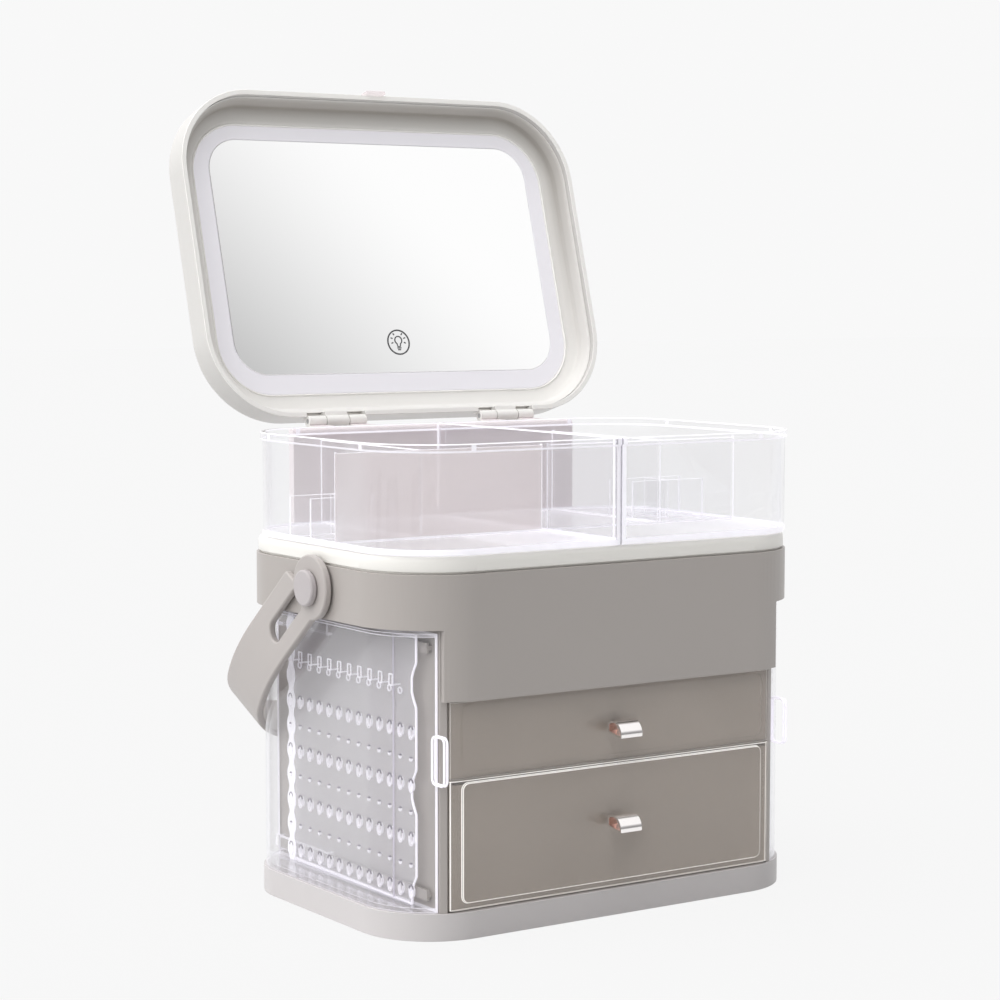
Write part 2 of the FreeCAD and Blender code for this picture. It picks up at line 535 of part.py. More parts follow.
def pivots():
    wall = SHELL_X
    tip = f"({SHELL_X} + handle_gap + handle_thick + slide_gap)"
    shaft = rod("pin_shaft", f"{tip} - {wall} + shell_wall", f"-{tip}", "pivot_y", "pivot_z", "x")
    flange = rod("pin_shaft + flange_rim", "flange_thick", f"shell_wall - {wall}", "pivot_y", "pivot_z", "x")
    left = node("left_pivot_pin", fuse(shaft, flange))
    mirrored("right_pivot_pin", left)
    cap = rod("cap_radius", "cap_thick", f"-{tip} - cap_thick", "pivot_y", "pivot_z", "x")
    left = node("left_pivot_cap", cap)
    mirrored("right_pivot_cap", left)
    disc = rod("cap_radius", "handle_gap - slide_gap", f"slide_gap - handle_gap - {wall}",
               "pivot_y", "pivot_z", "x")
    hole = rod("pin_shaft", "handle_gap + 2", f"-handle_gap - {wall} - 1", "pivot_y", "pivot_z", "x")
    washer = cut(disc, hole)
    left = node("left_pivot_washer", washer)
    mirrored("right_pivot_washer", left)


def upright(half_x, half_z, corner, y0, thick, z):
    """A round-cornered plate that stands in the front plane, from y0 backwards."""
    block = rounded(half_x, half_z, corner, "0", thick)
    block.Placement = FreeCAD.Placement(FreeCAD.Vector(), FreeCAD.Rotation(FreeCAD.Vector(1, 0, 0), 90))
    return place(block, "0", f"{y0} + {thick}", z)


def pull(height):
    """A leaf-shaped tube: two curved walls that meet in a lip at the front and foot on the face."""
    reach, wall = size("pull_reach"), size("pull_wall")
    top = FreeCAD.Vector(0, 0, size("pull_rise"))
    crown = FreeCAD.Vector(0, -reach * 0.62, size("pull_crown"))
    lip = FreeCAD.Vector(0, -reach, -size("pull_lip"))
    belly = FreeCAD.Vector(0, -reach * 0.42, -size("pull_belly"))
    foot = FreeCAD.Vector(0, 0, -size("pull_foot"))
    wire = Part.Wire([Part.Arc(top, crown, lip).toShape(), Part.Arc(lip, belly, foot).toShape(),
                      Part.makeLine(foot, top)])
    ring = Part.Face(wire).cut(Part.Face(wire.makeOffset2D(-wall)))
    item = doc.addObject("Part::Feature", "Pull")
    item.Shape = ring.extrude(FreeCAD.Vector(size("pull_width"), 0, 0))
    return place(item, "-pull_width / 2", f"-{BASE_Y}", height)


def bore(start, length, height):
    """The hole for a pull's screw."""
    return rod("pull_screw", length, "0", start, height, "y")


def drawer(name, floor, ceiling, face_low, face_high, pull_height):
    """One smoked drawer: box, face, pull and the screw that holds the pull."""
    side = "(core_half - core_wall - side_gap)"
    back = f"{CORE_Y} - drawer_rear"
    front = f"(-{CORE_Y})"
    face_y = f"(-{BASE_Y})"
    tub = box(f"-{side}", side, front, back, floor, ceiling)
    room = box(f"drawer_wall - {side}", f"{side} - drawer_wall", f"{front} + drawer_wall",
               f"{back} - drawer_wall", f"({floor}) + drawer_wall", f"({ceiling}) + 1")
    node(f"{name}_box", cut(tub, room, bore(face_y, "face_thick + drawer_wall + 1", pull_height)))
    half = "(core_half - core_wall - face_gap)"
    plate = common(box(f"-{half}", half, f"{face_y} + face_step", front, face_low, face_high),
                   rounded(BASE_X, BASE_Y, "base_corner", face_low, face_high))
    low, high = f"({face_low} + panel_low)", f"({face_high} - panel_top)"
    panel = upright(f"{half} - panel_edge", f"({high} - {low}) / 2", "panel_corner", face_y,
                    "2 * face_step", f"({low} + {high}) / 2")
    node(f"{name}_face", cut(fuse(plate, panel), bore(f"{face_y} - 1", "face_thick + 2", pull_height)))
    hole = bore(f"{face_y} - pull_wall - 1", "pull_wall + 2", pull_height)
    node(f"{name}_pull", cut(pull(pull_height), hole))
    head = rod("pull_screw * 2", "screw_head", "0", f"{front} + drawer_wall", pull_height, "y")
    shank = rod("pull_screw", "face_thick + drawer_wall + pull_wall", "0", f"{face_y} - pull_wall",
                pull_height, "y")
    node(f"{name}_screw", fuse(head, shank))


def rack():
    """The left rack: clear cover, perforated panel with a hook bar, pull loop and rail shoes."""
    inner_x = "(-core_half - slide_gap * 2)"
    out_x, out_y = f"{BASE_X} - rack_inset", f"{BASE_Y} - rack_inset"
    low, high = "(base_top + slide_gap)", "rack_top"
    block = rounded(out_x, out_y, "base_corner - rack_inset", low, high)
    room = rounded(f"{out_x} - rack_wall", f"{out_y} - rack_wall", "base_corner - rack_inset - rack_wall",
                   f"{low} + rack_wall", f"{high} - rack_wall")
    side = box(f"-({out_x}) - 1", inner_x, f"-({out_y}) - 1", f"{out_y} + 1", f"{low} - 1", f"{high} + 1")
    ways = [box("-core_half - 2 * rail_depth - slide_gap", f"{inner_x} + 1", "0", f"{out_y} + 1",
                f"{level} - rail_head - slide_gap", f"{level} + rail_head + slide_gap")
            for level in ("rail_low", "rail_high")]
    cover = node("left_rack_cover", cut(common(cut(block, room), side), *ways))
    panel_x = "(-core_half - rack_panel_set)"
    bottom, top = f"{low} + rack_wall", f"{high} - rack_wall"
    sheet_block = box(f"{panel_x} - rack_panel_thick", panel_x, "rack_panel_front", "rack_panel_back",
                      bottom, top)
    bites = []
    for number in range(9):
        for end in (-1, 1):
            bites.append(rod("hole_pitch / 3", "rack_panel_thick + 2", f"{panel_x} - rack_panel_thick - 1",
                             f"{end} * (rack_panel_half + hole_pitch / 6) - panel_ahead",
                             f"first_row + {number} * row_pitch / 2 + row_pitch / 4", "x"))
    holes = []
    for line in range(4):
        for number in range(-6, 7):
            wide = "hole_width / 2"
            y = f"{number} * hole_pitch - panel_ahead"
            z = f"first_row + {line} * row_pitch"
            holes.append(box(f"{panel_x} - rack_panel_thick - 1", f"{panel_x} + 1", f"{y} - {wide}",
                             f"{y} + {wide}", f"{z} - hole_height / 2", f"{z} + hole_height / 2"))
    panel = node("left_rack_panel", cut(sheet_block, *bites, *holes))
    face_x = f"({panel_x} - rack_panel_thick)"
    bar = box(f"{face_x} - hook_width", face_x, "-5.5 * hole_pitch - panel_ahead",
              "5.5 * hole_pitch - panel_ahead",
              "hook_height - hook_width / 2", "hook_height + hook_width / 2")
    hooks = [bar]
    for number in range(-5, 6):
        y = f"{number} * hole_pitch - panel_ahead"
        hooks.append(box(f"{face_x} - hook_reach", f"{face_x} - hook_width / 2", f"{y} - hook_width / 2",
                         f"{y} + hook_width / 2", "hook_height - hook_width / 2",
                         "hook_height + hook_width / 2"))
        hooks.append(box(f"{face_x} - hook_reach", f"{face_x} - hook_reach + hook_width / 2",
                         f"{y} - hook_width", f"{y} + hook_width", "hook_height - hook_width / 2",
                         "hook_height + hook_rise"))
    comb = node("left_rack_hooks", fuse(*hooks))
    loop_y = f"(-({out_y}))"
    loop_x0, loop_x1 = f"{inner_x} - loop_width", inner_x
    z0, z1 = "(loop_middle - loop_height / 2)", "(loop_middle + loop_height / 2)"
    outer = box(loop_x0, loop_x1, f"{loop_y} - loop_reach", "rack_panel_front", z0, z1)
    gap = box(f"{loop_x0} - 1", f"{loop_x1} + 1", f"{loop_y} - loop_reach + loop_bar", "rack_panel_front + 1",
              f"{z0} + loop_bar", f"{z1} - loop_bar")
    behind = rounded(out_x, out_y, "base_corner - rack_inset", f"{z0} - 1", f"{z1} + 1")
    loop = node("left_rack_loop", cut(outer, gap, behind))
    rails, shoes = [], []
    for level in ("rail_low", "rail_high"):
        stem = box("-core_half - rail_depth", "-core_half", "-rail_reach", "rail_reach",
                   f"{level} - rail_stem", f"{level} + rail_stem")
        head = box("-core_half - 2 * rail_depth", "-core_half - rail_depth", "-rail_reach", "rail_reach",
                   f"{level} - rail_head", f"{level} + rail_head")
        rails.append(fuse(stem, head))
        rear = "rail_reach - shoe_length"
        block = box(panel_x, inner_x, rear, "rail_reach", f"{level} - rail_head - shoe_rim",
                    f"{level} + rail_head + shoe_rim")
        groove = box("-core_half - 2 * rail_depth - slide_gap", "slide_gap - core_half - rail_depth",
                     f"{rear} - 1", "rail_reach + 1", f"{level} - rail_head - slide_gap",
                     f"{level} + rail_head + slide_gap")
        throat = box("-core_half - rail_depth", "-core_half", f"{rear} - 1", "rail_reach + 1",
                     f"{level} - rail_stem - slide_gap", f"{level} + rail_stem + slide_gap")
        shoes.append(cut(block, groove, throat))
    rail = node("left_rack_rails", group(*rails))
    shoe = node("left_rack_shoes", group(*shoes))
    for name, item in (("cover", cover), ("panel", panel), ("hooks", comb), ("loop", loop),
                       ("rails", rail), ("shoes", shoe)):
        mirrored(f"right_rack_{name}", item)


base()
core()
shell()
tower()
trays()
lid_shell()
lid_inside()
handle()
pivots()
drawer("lower_drawer", "base_top + strip_thick + slide_gap", "shelf_top - shelf_thick - side_gap",
       "base_top + side_gap", "shelf_top - slide_gap", "lower_pull_height")
drawer("upper_drawer", "shelf_top + strip_thick + slide_gap", "apron_bottom - side_gap",
       "shelf_top + slide_gap * 2", "apron_bottom - face_gap", "upper_pull_height")
rack()

doc.recompute()
for item in doc.Objects:
    if "Invalid" in item.State or "Error" in item.State:
        raise RuntimeError(f"{item.Label} failed to build: {item.State}")
os.makedirs("parts", exist_ok=True)
for item in nodes:
    shape = item.Shape
    if shape.isNull() or not shape.isValid() or not shape.Solids:
        raise RuntimeError(f"{item.Label} has no valid solid")
    shape.exportStep(f"parts/{item.Label}.step")
    print(f"{item.Label}: {len(shape.Solids)} solid, {shape.Volume / 1000:.1f} cm3")
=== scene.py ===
import json
import math

import bmesh
import bpy
from mathutils import Matrix, Vector
from mathutils.bvhtree import BVHTree

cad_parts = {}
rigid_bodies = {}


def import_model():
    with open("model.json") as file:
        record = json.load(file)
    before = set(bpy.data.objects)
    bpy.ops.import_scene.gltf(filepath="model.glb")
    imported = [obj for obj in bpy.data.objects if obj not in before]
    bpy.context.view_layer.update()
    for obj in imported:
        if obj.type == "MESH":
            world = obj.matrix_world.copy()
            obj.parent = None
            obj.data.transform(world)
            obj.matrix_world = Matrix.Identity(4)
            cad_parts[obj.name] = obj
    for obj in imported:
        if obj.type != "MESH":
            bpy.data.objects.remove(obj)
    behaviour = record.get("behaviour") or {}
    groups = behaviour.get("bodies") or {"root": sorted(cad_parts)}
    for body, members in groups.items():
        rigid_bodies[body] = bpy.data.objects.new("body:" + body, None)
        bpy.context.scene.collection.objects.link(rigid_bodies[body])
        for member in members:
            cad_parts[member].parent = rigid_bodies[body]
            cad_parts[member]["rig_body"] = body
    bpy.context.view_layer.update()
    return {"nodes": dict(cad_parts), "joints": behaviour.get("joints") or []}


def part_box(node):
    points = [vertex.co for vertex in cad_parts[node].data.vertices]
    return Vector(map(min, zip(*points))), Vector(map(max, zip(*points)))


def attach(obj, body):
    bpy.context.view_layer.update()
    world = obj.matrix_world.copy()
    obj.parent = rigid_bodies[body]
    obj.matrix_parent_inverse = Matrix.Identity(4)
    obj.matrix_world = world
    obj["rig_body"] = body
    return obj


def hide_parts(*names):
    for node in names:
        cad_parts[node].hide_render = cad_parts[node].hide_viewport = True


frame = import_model()
nodes = frame["nodes"]
mm = 0.001
print("frame loaded:", len(nodes), "pieces")


# a wire is a node's socket, and sums on wires add the Math nodes
class Wire:
    def __init__(self, recipe, socket):
        self.recipe, self.socket = recipe, socket

    def sum(self, operation, other, swap=False):
        pair = (other, self) if swap else (self, other)
        return self.recipe.put("ShaderNodeMath", {"operation": operation}, {0: pair[0], 1: pair[1]})

    def __add__(self, other):
        return self.sum("ADD", other)

    def __radd__(self, other):
        return self.sum("ADD", other, True)

    def __sub__(self, other):
        return self.sum("SUBTRACT", other)

    def __rsub__(self, other):
        return self.sum("SUBTRACT", other, True)

    def __mul__(self, other):
        return self.sum("MULTIPLY", other)

    def __rmul__(self, other):
        return self.sum("MULTIPLY", other, True)

    def __pow__(self, other):
        return self.sum("POWER", other)


# a recipe fills one node tree, and put() adds any node: its settings first, then its sockets
class Recipe:
    def __init__(self, tree):
        self.tree = tree
        self.tree.nodes.clear()

    def put(self, kind, settings=None, sockets=None, out=0):
        made = self.tree.nodes.new(kind)
        for key, value in (settings or {}).items():
            setattr(made, key, value)
        for key, value in (sockets or {}).items():
            wires = value if isinstance(value, list) else [value]
            if isinstance(wires[0], Wire):
                for wire in wires:
                    self.tree.links.new(wire.socket, made.inputs[key])
            else:
                made.inputs[key].default_value = value
        return Wire(self, made.outputs[out]) if made.outputs else None

    def spots(self, scale, detail=2.0):
        place = self.put("ShaderNodeTexCoord", out=3)
        return self.put("ShaderNodeTexNoise", {"noise_dimensions": "3D"},
                        {"Vector": place, "Scale": scale, "Detail": detail})

    def blend(self, factor, first, second):
        return self.put("ShaderNodeMix", {"data_type": "RGBA"}, {0: factor, 6: first, 7: second}, 2)

    def spread(self, value, low, high):
        return self.put("ShaderNodeMapRange", {}, {"Value": value, "To Min": low, "To Max": high})

    def finish(self, shader):
        self.put("ShaderNodeOutputMaterial", {}, {"Surface": shader})


def paint(*levels):
    # screen levels from 0 to 255, as a linear colour
    return tuple(((v / 255 + 0.055) / 1.055) ** 2.4 if v > 10 else v / 255 / 12.92 for v in levels) + (1.0,)


def newRecipe(name):
    material = bpy.data.materials.new(name)
    material.use_nodes = True
    return material, Recipe(material.node_tree)


plastic = {"cloud": 9.0, "grain": 1700.0, "grainDepth": 0.0002, "wear": 60.0, "coatGloss": 0.12}


def mouldedPlastic(name, colour, shade, gloss, grain, coat=0.0, shadeTone=None):
    # two close tones in soft clouds, and a fine grain; the optional last tone is a painted shade, blended in
    # as far as the mesh's shade attribute says
    material, recipe = newRecipe(name)
    cloud = recipe.spots(plastic["cloud"], 3.0)
    tone = recipe.blend(recipe.spread(cloud, 0.0, 1.0), paint(*colour), paint(*shade))
    if shadeTone:
        # painted shade: the darker tone is laid on by a per-point attribute of the mesh
        paintedShade = recipe.put("ShaderNodeAttribute", {"attribute_name": "paintedShade"}, out=2)
        tone = recipe.blend(paintedShade, tone, paint(*shadeTone))
    bump = recipe.put("ShaderNodeBump", {}, {
        "Height": recipe.spots(plastic["grain"], 1.0), "Strength": grain, "Distance": plastic["grainDepth"]})
    rough = recipe.spread(recipe.spots(plastic["wear"], 3.0), gloss - 0.04, gloss + 0.05)
    recipe.finish(recipe.put("ShaderNodeBsdfPrincipled", {}, {
        "Base Color": tone, "Roughness": rough, "Normal": bump, "IOR": 1.49, "Coat Weight": coat,
        "Coat Roughness": plastic["coatGloss"]}))
    return material


pane = {"straight": 0.035, "slant": 4.0, "wear": 40.0, "gloss": (0.02, 0.06), "mist": 11.0}


def clearPane(name, tint, haze, milk, gleam=0.9):
    # a wall of clear plastic: what lies behind, a gloss that grows at a slant, a breath of haze
    material, recipe = newRecipe(name)
    through = recipe.put("ShaderNodeBsdfTransparent", {}, {"Color": paint(*tint)})
    facing = recipe.put("ShaderNodeLayerWeight", {}, {"Blend": 0.5}, 1)
    rough = recipe.spread(recipe.spots(pane["wear"]), *pane["gloss"])
    gloss = recipe.put("ShaderNodeBsdfPrincipled", {}, {
        "Base Color": (0.98, 0.98, 1.0, 1), "Metallic": 1.0, "Roughness": rough})
    wall = recipe.put("ShaderNodeMixShader", {}, {
        0: pane["straight"] + gleam * facing ** pane["slant"], 1: through, 2: gloss})
    cloud = recipe.put("ShaderNodeBsdfPrincipled", {}, {"Base Color": paint(*milk), "Roughness": 0.4})
    mist = recipe.spread(recipe.spots(pane["mist"]), haze * 0.7, haze * 1.3)
    recipe.finish(recipe.put("ShaderNodeMixShader", {}, {0: mist, 1: wall, 2: cloud}))
    return material


def clearEdge(name, colour, alpha, glow):
    # rims and edges show as pale lines, with a painted glow: an emission that stands in for the light that
    # clear edges gather
    material, recipe = newRecipe(name)
    tone = recipe.blend(recipe.spots(120.0), paint(*colour), paint(*[v * 0.96 for v in colour]))
    recipe.finish(recipe.put("ShaderNodeBsdfPrincipled", {}, {
        "Base Color": tone, "Roughness": 0.12, "IOR": 1.5, "Alpha": alpha, "Emission Color": tone,
        "Emission Strength": glow}))
    return material


def platedMetal(name, colour, gloss):
    material, recipe = newRecipe(name)
    rough = recipe.spread(recipe.spots(300.0), gloss * 0.7, gloss * 1.3)
    recipe.finish(recipe.put("ShaderNodeBsdfPrincipled", {}, {
        "Base Color": paint(*colour), "Metallic": 1.0, "Roughness": rough}))
    return material


def litBand(name, colour, glow):
    # a frosted band with a faint light behind it
    material, recipe = newRecipe(name)
    tone = recipe.blend(recipe.spots(14.0), paint(*colour), paint(*[v * 0.985 for v in colour]))
    recipe.finish(recipe.put("ShaderNodeBsdfPrincipled", {}, {
        "Base Color": tone, "Roughness": 0.32, "IOR": 1.45, "Emission Color": tone,
        "Emission Strength": glow}))
    return material


# each finish: its kind, then its colours and its gloss, haze or glow
finishList = {
    "bodyGrey": (mouldedPlastic, (174, 168, 164), (170, 164, 160), 0.36, 0.05, 0.1),
    "baseGrey": (mouldedPlastic, (203, 199, 199), (199, 195, 195), 0.34, 0.05, 0.1),
    "handleGrey": (mouldedPlastic, (181, 175, 172), (177, 171, 168), 0.38, 0.06, 0.05),
    "capGrey": (mouldedPlastic, (183, 177, 178), (179, 173, 174), 0.32, 0.04, 0.1),
    "lidIvory": (mouldedPlastic, (212, 210, 207), (208, 206, 203), 0.3, 0.03, 0.12),
    # the cove's ivory carries a painted shade as its last tone, for the shadow in the ledge under the lid's
    # rim
    "coveIvory": (mouldedPlastic, (250, 248, 245), (247, 245, 241), 0.34, 0.03, 0.05, (160, 155, 148)),
    "ivory": (mouldedPlastic, (250, 248, 245), (247, 245, 241), 0.3, 0.03, 0.12),
    "deckIvory": (mouldedPlastic, (238, 236, 231), (234, 232, 227), 0.3, 0.03, 0.12),
    "towerWhite": (mouldedPlastic, (242, 233, 235), (238, 229, 231), 0.34, 0.03, 0.1),
    "slipWhite": (mouldedPlastic, (224, 221, 219), (219, 216, 213), 0.45, 0.05),
    "footRubber": (mouldedPlastic, (52, 52, 53), (44, 44, 45), 0.75, 0.2),
    "boardDark": (mouldedPlastic, (70, 82, 74), (58, 68, 62), 0.5, 0.1),
    "cellWrap": (mouldedPlastic, (168, 170, 176), (158, 160, 166), 0.4, 0.05),
    "iconGrey": (mouldedPlastic, (96, 96, 98), (88, 88, 90), 0.5, 0.02),
    "clear": (clearPane, (254, 254, 254.2), 0.014, (226, 225, 228)),
    # the clear rims, stamps, flange, hooks and fold: their last number is a painted glow, an emission
    # standing in for light that clear edges catch
    "clearRim": (clearEdge, (248, 246, 253), 0.82, 0.3),
    "stampRim": (clearEdge, (246, 243, 250), 0.62, 0.22),
    "stampShade": (clearEdge, (140, 134, 146), 0.8, 0.0),
    "flangeWhite": (clearEdge, (250, 249, 254), 0.7, 0.3),
    "veil": (clearPane, (254, 254, 254.2), 0.55, (252, 243, 244), 0.4),
    "hookWhite": (clearEdge, (248, 246, 252), 0.72, 0.2),
    "seamShade": (clearEdge, (166, 164, 176), 0.6, 0.0),
    "foldLine": (clearEdge, (222, 216, 230), 0.6, 0.1),
    "frosted": (clearPane, (254, 254, 254.2), 0.22, (246, 244, 250), 0.5),
    "milkStrip": (clearPane, (254, 254, 254.2), 0.3, (253, 252, 255), 0.5),
    "smoked": (clearPane, (251, 249.5, 248), 0.16, (200, 193, 188), 0.7),
    "smokedTub": (clearPane, (244, 241, 237), 0.55, (232, 224, 215), 0.4),
    # the smoked rims and the latch also carry a painted glow as their last number
    "smokedRim": (clearEdge, (246, 243, 239), 0.88, 0.32),
    "latchPink": (clearEdge, (246, 222, 226), 0.25, 0.05),
    "rosePlate": (platedMetal, (250, 232, 226), 0.22),
    "pearlPlate": (platedMetal, (252, 248, 247), 0.12),
    "silver": (platedMetal, (253, 253, 253), 0.01),
    "steel": (platedMetal, (190, 190, 190), 0.3),
    "ledBand": (litBand, (226, 224, 229), 0.28),
}
finishes = {name: kind(name, *values) for name, (kind, *values) in finishList.items()}
rimFinish = {"clear": "clearRim", "smoked": "smokedRim", "smokedTub": "smokedTub"}
print("finishes ready:", len(finishes))


def newPiece(name, mesh, finish, body=None, stands=()):
    # clearing the materials would forget which face has which, so the faces' marks are kept
    piece = bpy.data.objects.new(name, mesh)
    bpy.context.scene.collection.objects.link(piece)
    marks = [face.material_index for face in mesh.polygons]
    mesh.materials.clear()
    mesh.materials.append(finishes[finish])
    if finish in rimFinish:
        mesh.materials.append(finishes[rimFinish[finish]])
    mesh.polygons.foreach_set("material_index", marks)
    if body:
        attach(piece, body)
    if stands:
        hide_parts(*stands)
    return piece


def settle(piece):
    # every modifier becomes plain mesh
    view = bpy.context.evaluated_depsgraph_get()
    mesh = bpy.data.meshes.new_from_object(piece.evaluated_get(view))
    piece.modifiers.clear()
    old, piece.data = piece.data, mesh
    bpy.data.meshes.remove(old)


# edges and broad walls: angles in degrees, "weld" in metres, the rest in millimetres
easing = {"angle": 38, "steps": 2, "weld": 2e-6, "flat": 0.4, "rimWidth": 2.7, "broadWall": 40}


def smooth(mesh, angle=32):
    for face in mesh.polygons:
        face.use_smooth = True
    mesh.set_sharp_from_angle(angle=math.radians(angle))


def soften(piece, width):
    # rounded edges, shaded so that the flats beside them stay flat
    bevel = piece.modifiers.new("edges", "BEVEL")
    bevel.width, bevel.segments, bevel.limit_method = width, easing["steps"], "ANGLE"
    bevel.angle_limit = math.radians(easing["angle"])
    bevel.use_clamp_overlap = True
    # for clear and smoked pieces the rounded edges take the second finish, a pale rim with a painted glow
    bevel.material = len(piece.data.materials) - 1 if len(piece.data.materials) > 1 else -1
    weigh = piece.modifiers.new("shine", "WEIGHTED_NORMAL")
    weigh.keep_sharp = True
    settle(piece)


def flatten(mesh):
    # broad walls are shaded as the planes that they are
    if "custom_normal" in mesh.attributes:
        mesh.attributes.remove(mesh.attributes["custom_normal"])
    for face in mesh.polygons:
        if face.area > easing["broadWall"] * mm * mm:
            face.use_smooth = False


def towardsMiddle(x, y, halfX, halfY, corner, by):
    # a point on a round-cornered outline, moved inwards square to it
    cornerX, cornerY = math.copysign(halfX - corner, x), math.copysign(halfY - corner, y)
    if abs(x) <= halfX - corner:
        return x, y - math.copysign(by, y)
    if abs(y) <= halfY - corner:
        return x - math.copysign(by, x), y
    out = Vector((x - cornerX, y - cornerY))
    out *= 1 - by / out.length
    return cornerX + out.x, cornerY + out.y


def depthInside(x, y, halfX, halfY, corner):
    # how far a point lies inside a round-cornered outline
    across, along = abs(x) - halfX + corner, abs(y) - halfY + corner
    if across > 0 and along > 0:
        return corner - math.hypot(across, along)
    return min(halfX - abs(x), halfY - abs(y))


def sliced(shape, spot, way):
    bmesh.ops.bisect_plane(shape, geom=shape.verts[:] + shape.edges[:] + shape.faces[:],
                           plane_co=spot, plane_no=way)


# ivory trim: its lowest strip stands back over a shadow gap, and its top edge is well rounded
trim = {"outline": (146.8, 99.8, 47.8), "low": 206.0, "gap": 1.3, "back": 1.3, "wide": 2.3, "tall": 4.2,
        "cuts": (0, 0.35, 0.6, 0.78, 0.9, 0.97)}


def seam(shape):
    level = (trim["low"] + trim["gap"]) * mm
    highest = max(v.co.z for v in shape.verts)
    for height in [level, level + 0.02 * mm] + [highest + (t - 1) * trim["tall"] * mm for t in trim["cuts"]]:
        sliced(shape, (0, 0, height), (0, 0, 1))
    for vert in shape.verts:
        x, y = vert.co.x / mm, vert.co.y / mm
        if depthInside(x, y, *trim["outline"]) > 1:
            continue
        up = 1 + (vert.co.z - highest) / (trim["tall"] * mm)
        inset = trim["wide"] * (1 - math.sqrt(max(0.0, 1 - max(0.0, up) ** 2)))
        if vert.co.z < level + 0.01 * mm:
            inset = trim["back"]
        if inset:
            vert.co.x, vert.co.y = (v * mm for v in towardsMiddle(x, y, *trim["outline"], inset))


# hinge tower: its top front edge is a broad slant that catches the light, with pale knuckles above it
slant = {"wide": 3.6, "top": 277.4, "shortest": 60, "rear": 97, "knuckles": 278.3}


def slantedTop(shape):
    edges = [e for e in shape.edges if all(v.co.z > slant["top"] * mm for v in e.verts)
             and e.calc_length() > slant["shortest"] * mm
             and sum(v.co.y for v in e.verts) / 2 < slant["rear"] * mm]
    bmesh.ops.bevel(shape, geom=edges, offset=slant["wide"] * mm, segments=3, profile=0.5, affect="EDGES",
                    clamp_overlap=True)


def dressed(name, finish, edge, reshape=None):
    # the solid's own faces, merged, with its edges eased
    source = nodes[name]
    mesh = source.data.copy()
    shape = bmesh.new()
    shape.from_mesh(mesh)
    bmesh.ops.remove_doubles(shape, verts=shape.verts, dist=easing["weld"])
    bmesh.ops.dissolve_limit(shape, angle_limit=math.radians(easing["flat"]), verts=shape.verts,
                             edges=shape.edges)
    if reshape:
        reshape(shape)
    # narrow flat faces of clear solids take the pale rim finish, a painted highlight by its glow
    if finish == "clear":
        for face in shape.faces:
            narrow = 2 * face.calc_area() / face.calc_perimeter() < easing["rimWidth"] * mm
            square = max(abs(v) for v in face.normal) > 0.999
            face.material_index = 1 if narrow and square else 0
    shape.to_mesh(mesh)
    shape.free()
    piece = newPiece(name + "_dressed", mesh, finish)
    smooth(mesh)
    soften(piece, edge * mm)
    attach(piece, source["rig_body"])
    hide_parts(name)
    return piece


def roundedLoop(halfX, halfY, corner, x=0.0, y=0.0, steps=14):
    # a rectangle with round corners, as a list of points in millimetres
    loop = []
    for cx, cy, start in ((halfX - corner, corner - halfY, -90), (halfX - corner, halfY - corner, 0),
                          (corner - halfX, halfY - corner, 90), (corner - halfX, corner - halfY, 180)):
        for step in range(steps + 1):
            turn = math.radians(start + 90 * step / steps)
            loop.append((x + cx + corner * math.cos(turn), y + cy + corner * math.sin(turn)))
    return loop


def loft(rings):
    # rings: lists of points in millimetres, each as long as the next, joined in turn and to the first
    shape = bmesh.new()
    rows = [[shape.verts.new(Vector(p) * mm) for p in ring] for ring in rings]
    for low, high in zip(rows, rows[1:] + rows[:1]):
        for k in range(len(low)):
            n = (k + 1) % len(low)
            shape.faces.new((low[k], low[n], high[n], high[k]))
    bmesh.ops.recalc_face_normals(shape, faces=shape.faces)
    mesh = bpy.data.meshes.new("loft")
    shape.to_mesh(mesh)
    shape.free()
    return mesh


def ringAt(z, halfX, halfY, corner, y):
    return [(px, py, z) for px, py in roundedLoop(halfX, halfY, corner, 0.0, y)]


openTurn = -106  # degrees from the closed lid to the open one
hinge = Vector(next(j["pos_m"] for j in frame["joints"] if j["name"] == "lid_hinge"))
lidOpen = Matrix.Translation(hinge) @ Matrix.Rotation(math.radians(openTurn), 4, "X")

# plain solids keep their shape: finish and width of the eased edge
for label, finish, edge in (
        ("base_plate", "baseGrey", 0.9), ("base_cover", "baseGrey", 0.3), ("upper_shell", "bodyGrey", 0.8),
        ("core_left_wall", "bodyGrey", 0.3), ("core_right_wall", "bodyGrey", 0.3),
        ("back_panel", "bodyGrey", 0.4), ("drawer_shelf", "bodyGrey", 0.4),
        ("handle_band", "handleGrey", 0.9), ("left_pivot_cap", "capGrey", 1.0),
        ("right_pivot_cap", "capGrey", 1.0), ("left_pivot_washer", "slipWhite", 0.1),
        ("right_pivot_washer", "slipWhite", 0.1),
        ("left_tray_comb", "clear", 0.3), ("right_tray_comb", "clear", 0.3),
        ("left_rack_cover", "clear", 0.5), ("right_rack_cover", "clear", 0.5),
        ("left_rack_shoes", "clear", 0.2), ("right_rack_shoes", "clear", 0.2),
        ("lid_latch", "latchPink", 0.5), ("led_diffuser", "ledBand", 0.3), ("mirror_glass", "silver", 0.3)):
    dressed(label, finish, edge)
lidShell = dressed("lid_shell", "lidIvory", 0.9)
flatten(dressed("top_deck", "deckIvory", 0.5, seam).data)
tower = dressed("hinge_tower", "towerWhite", 0.5, slantedTop).data
tower.materials.append(finishes["ivory"])
for face in tower.polygons:
    if face.center.z > slant["knuckles"] * mm:
        face.material_index = 1

# trays: pale posts at the front seam, a painted highlight by their glowing rim finish, with a painted shade
# on the joint, a pale foot strip with the same painted glow, a milky floor and a veil on the left tray's
# cross wall
tray = {"finishes": ("clear", "clearRim", "milkStrip", "seamShade", "veil"), "postWide": 3.4,
        "postDeep": 6.0, "joint": 0.6, "foot": 219.6, "floorArea": 30.0, "cross": -22.0, "crossDeep": 4}


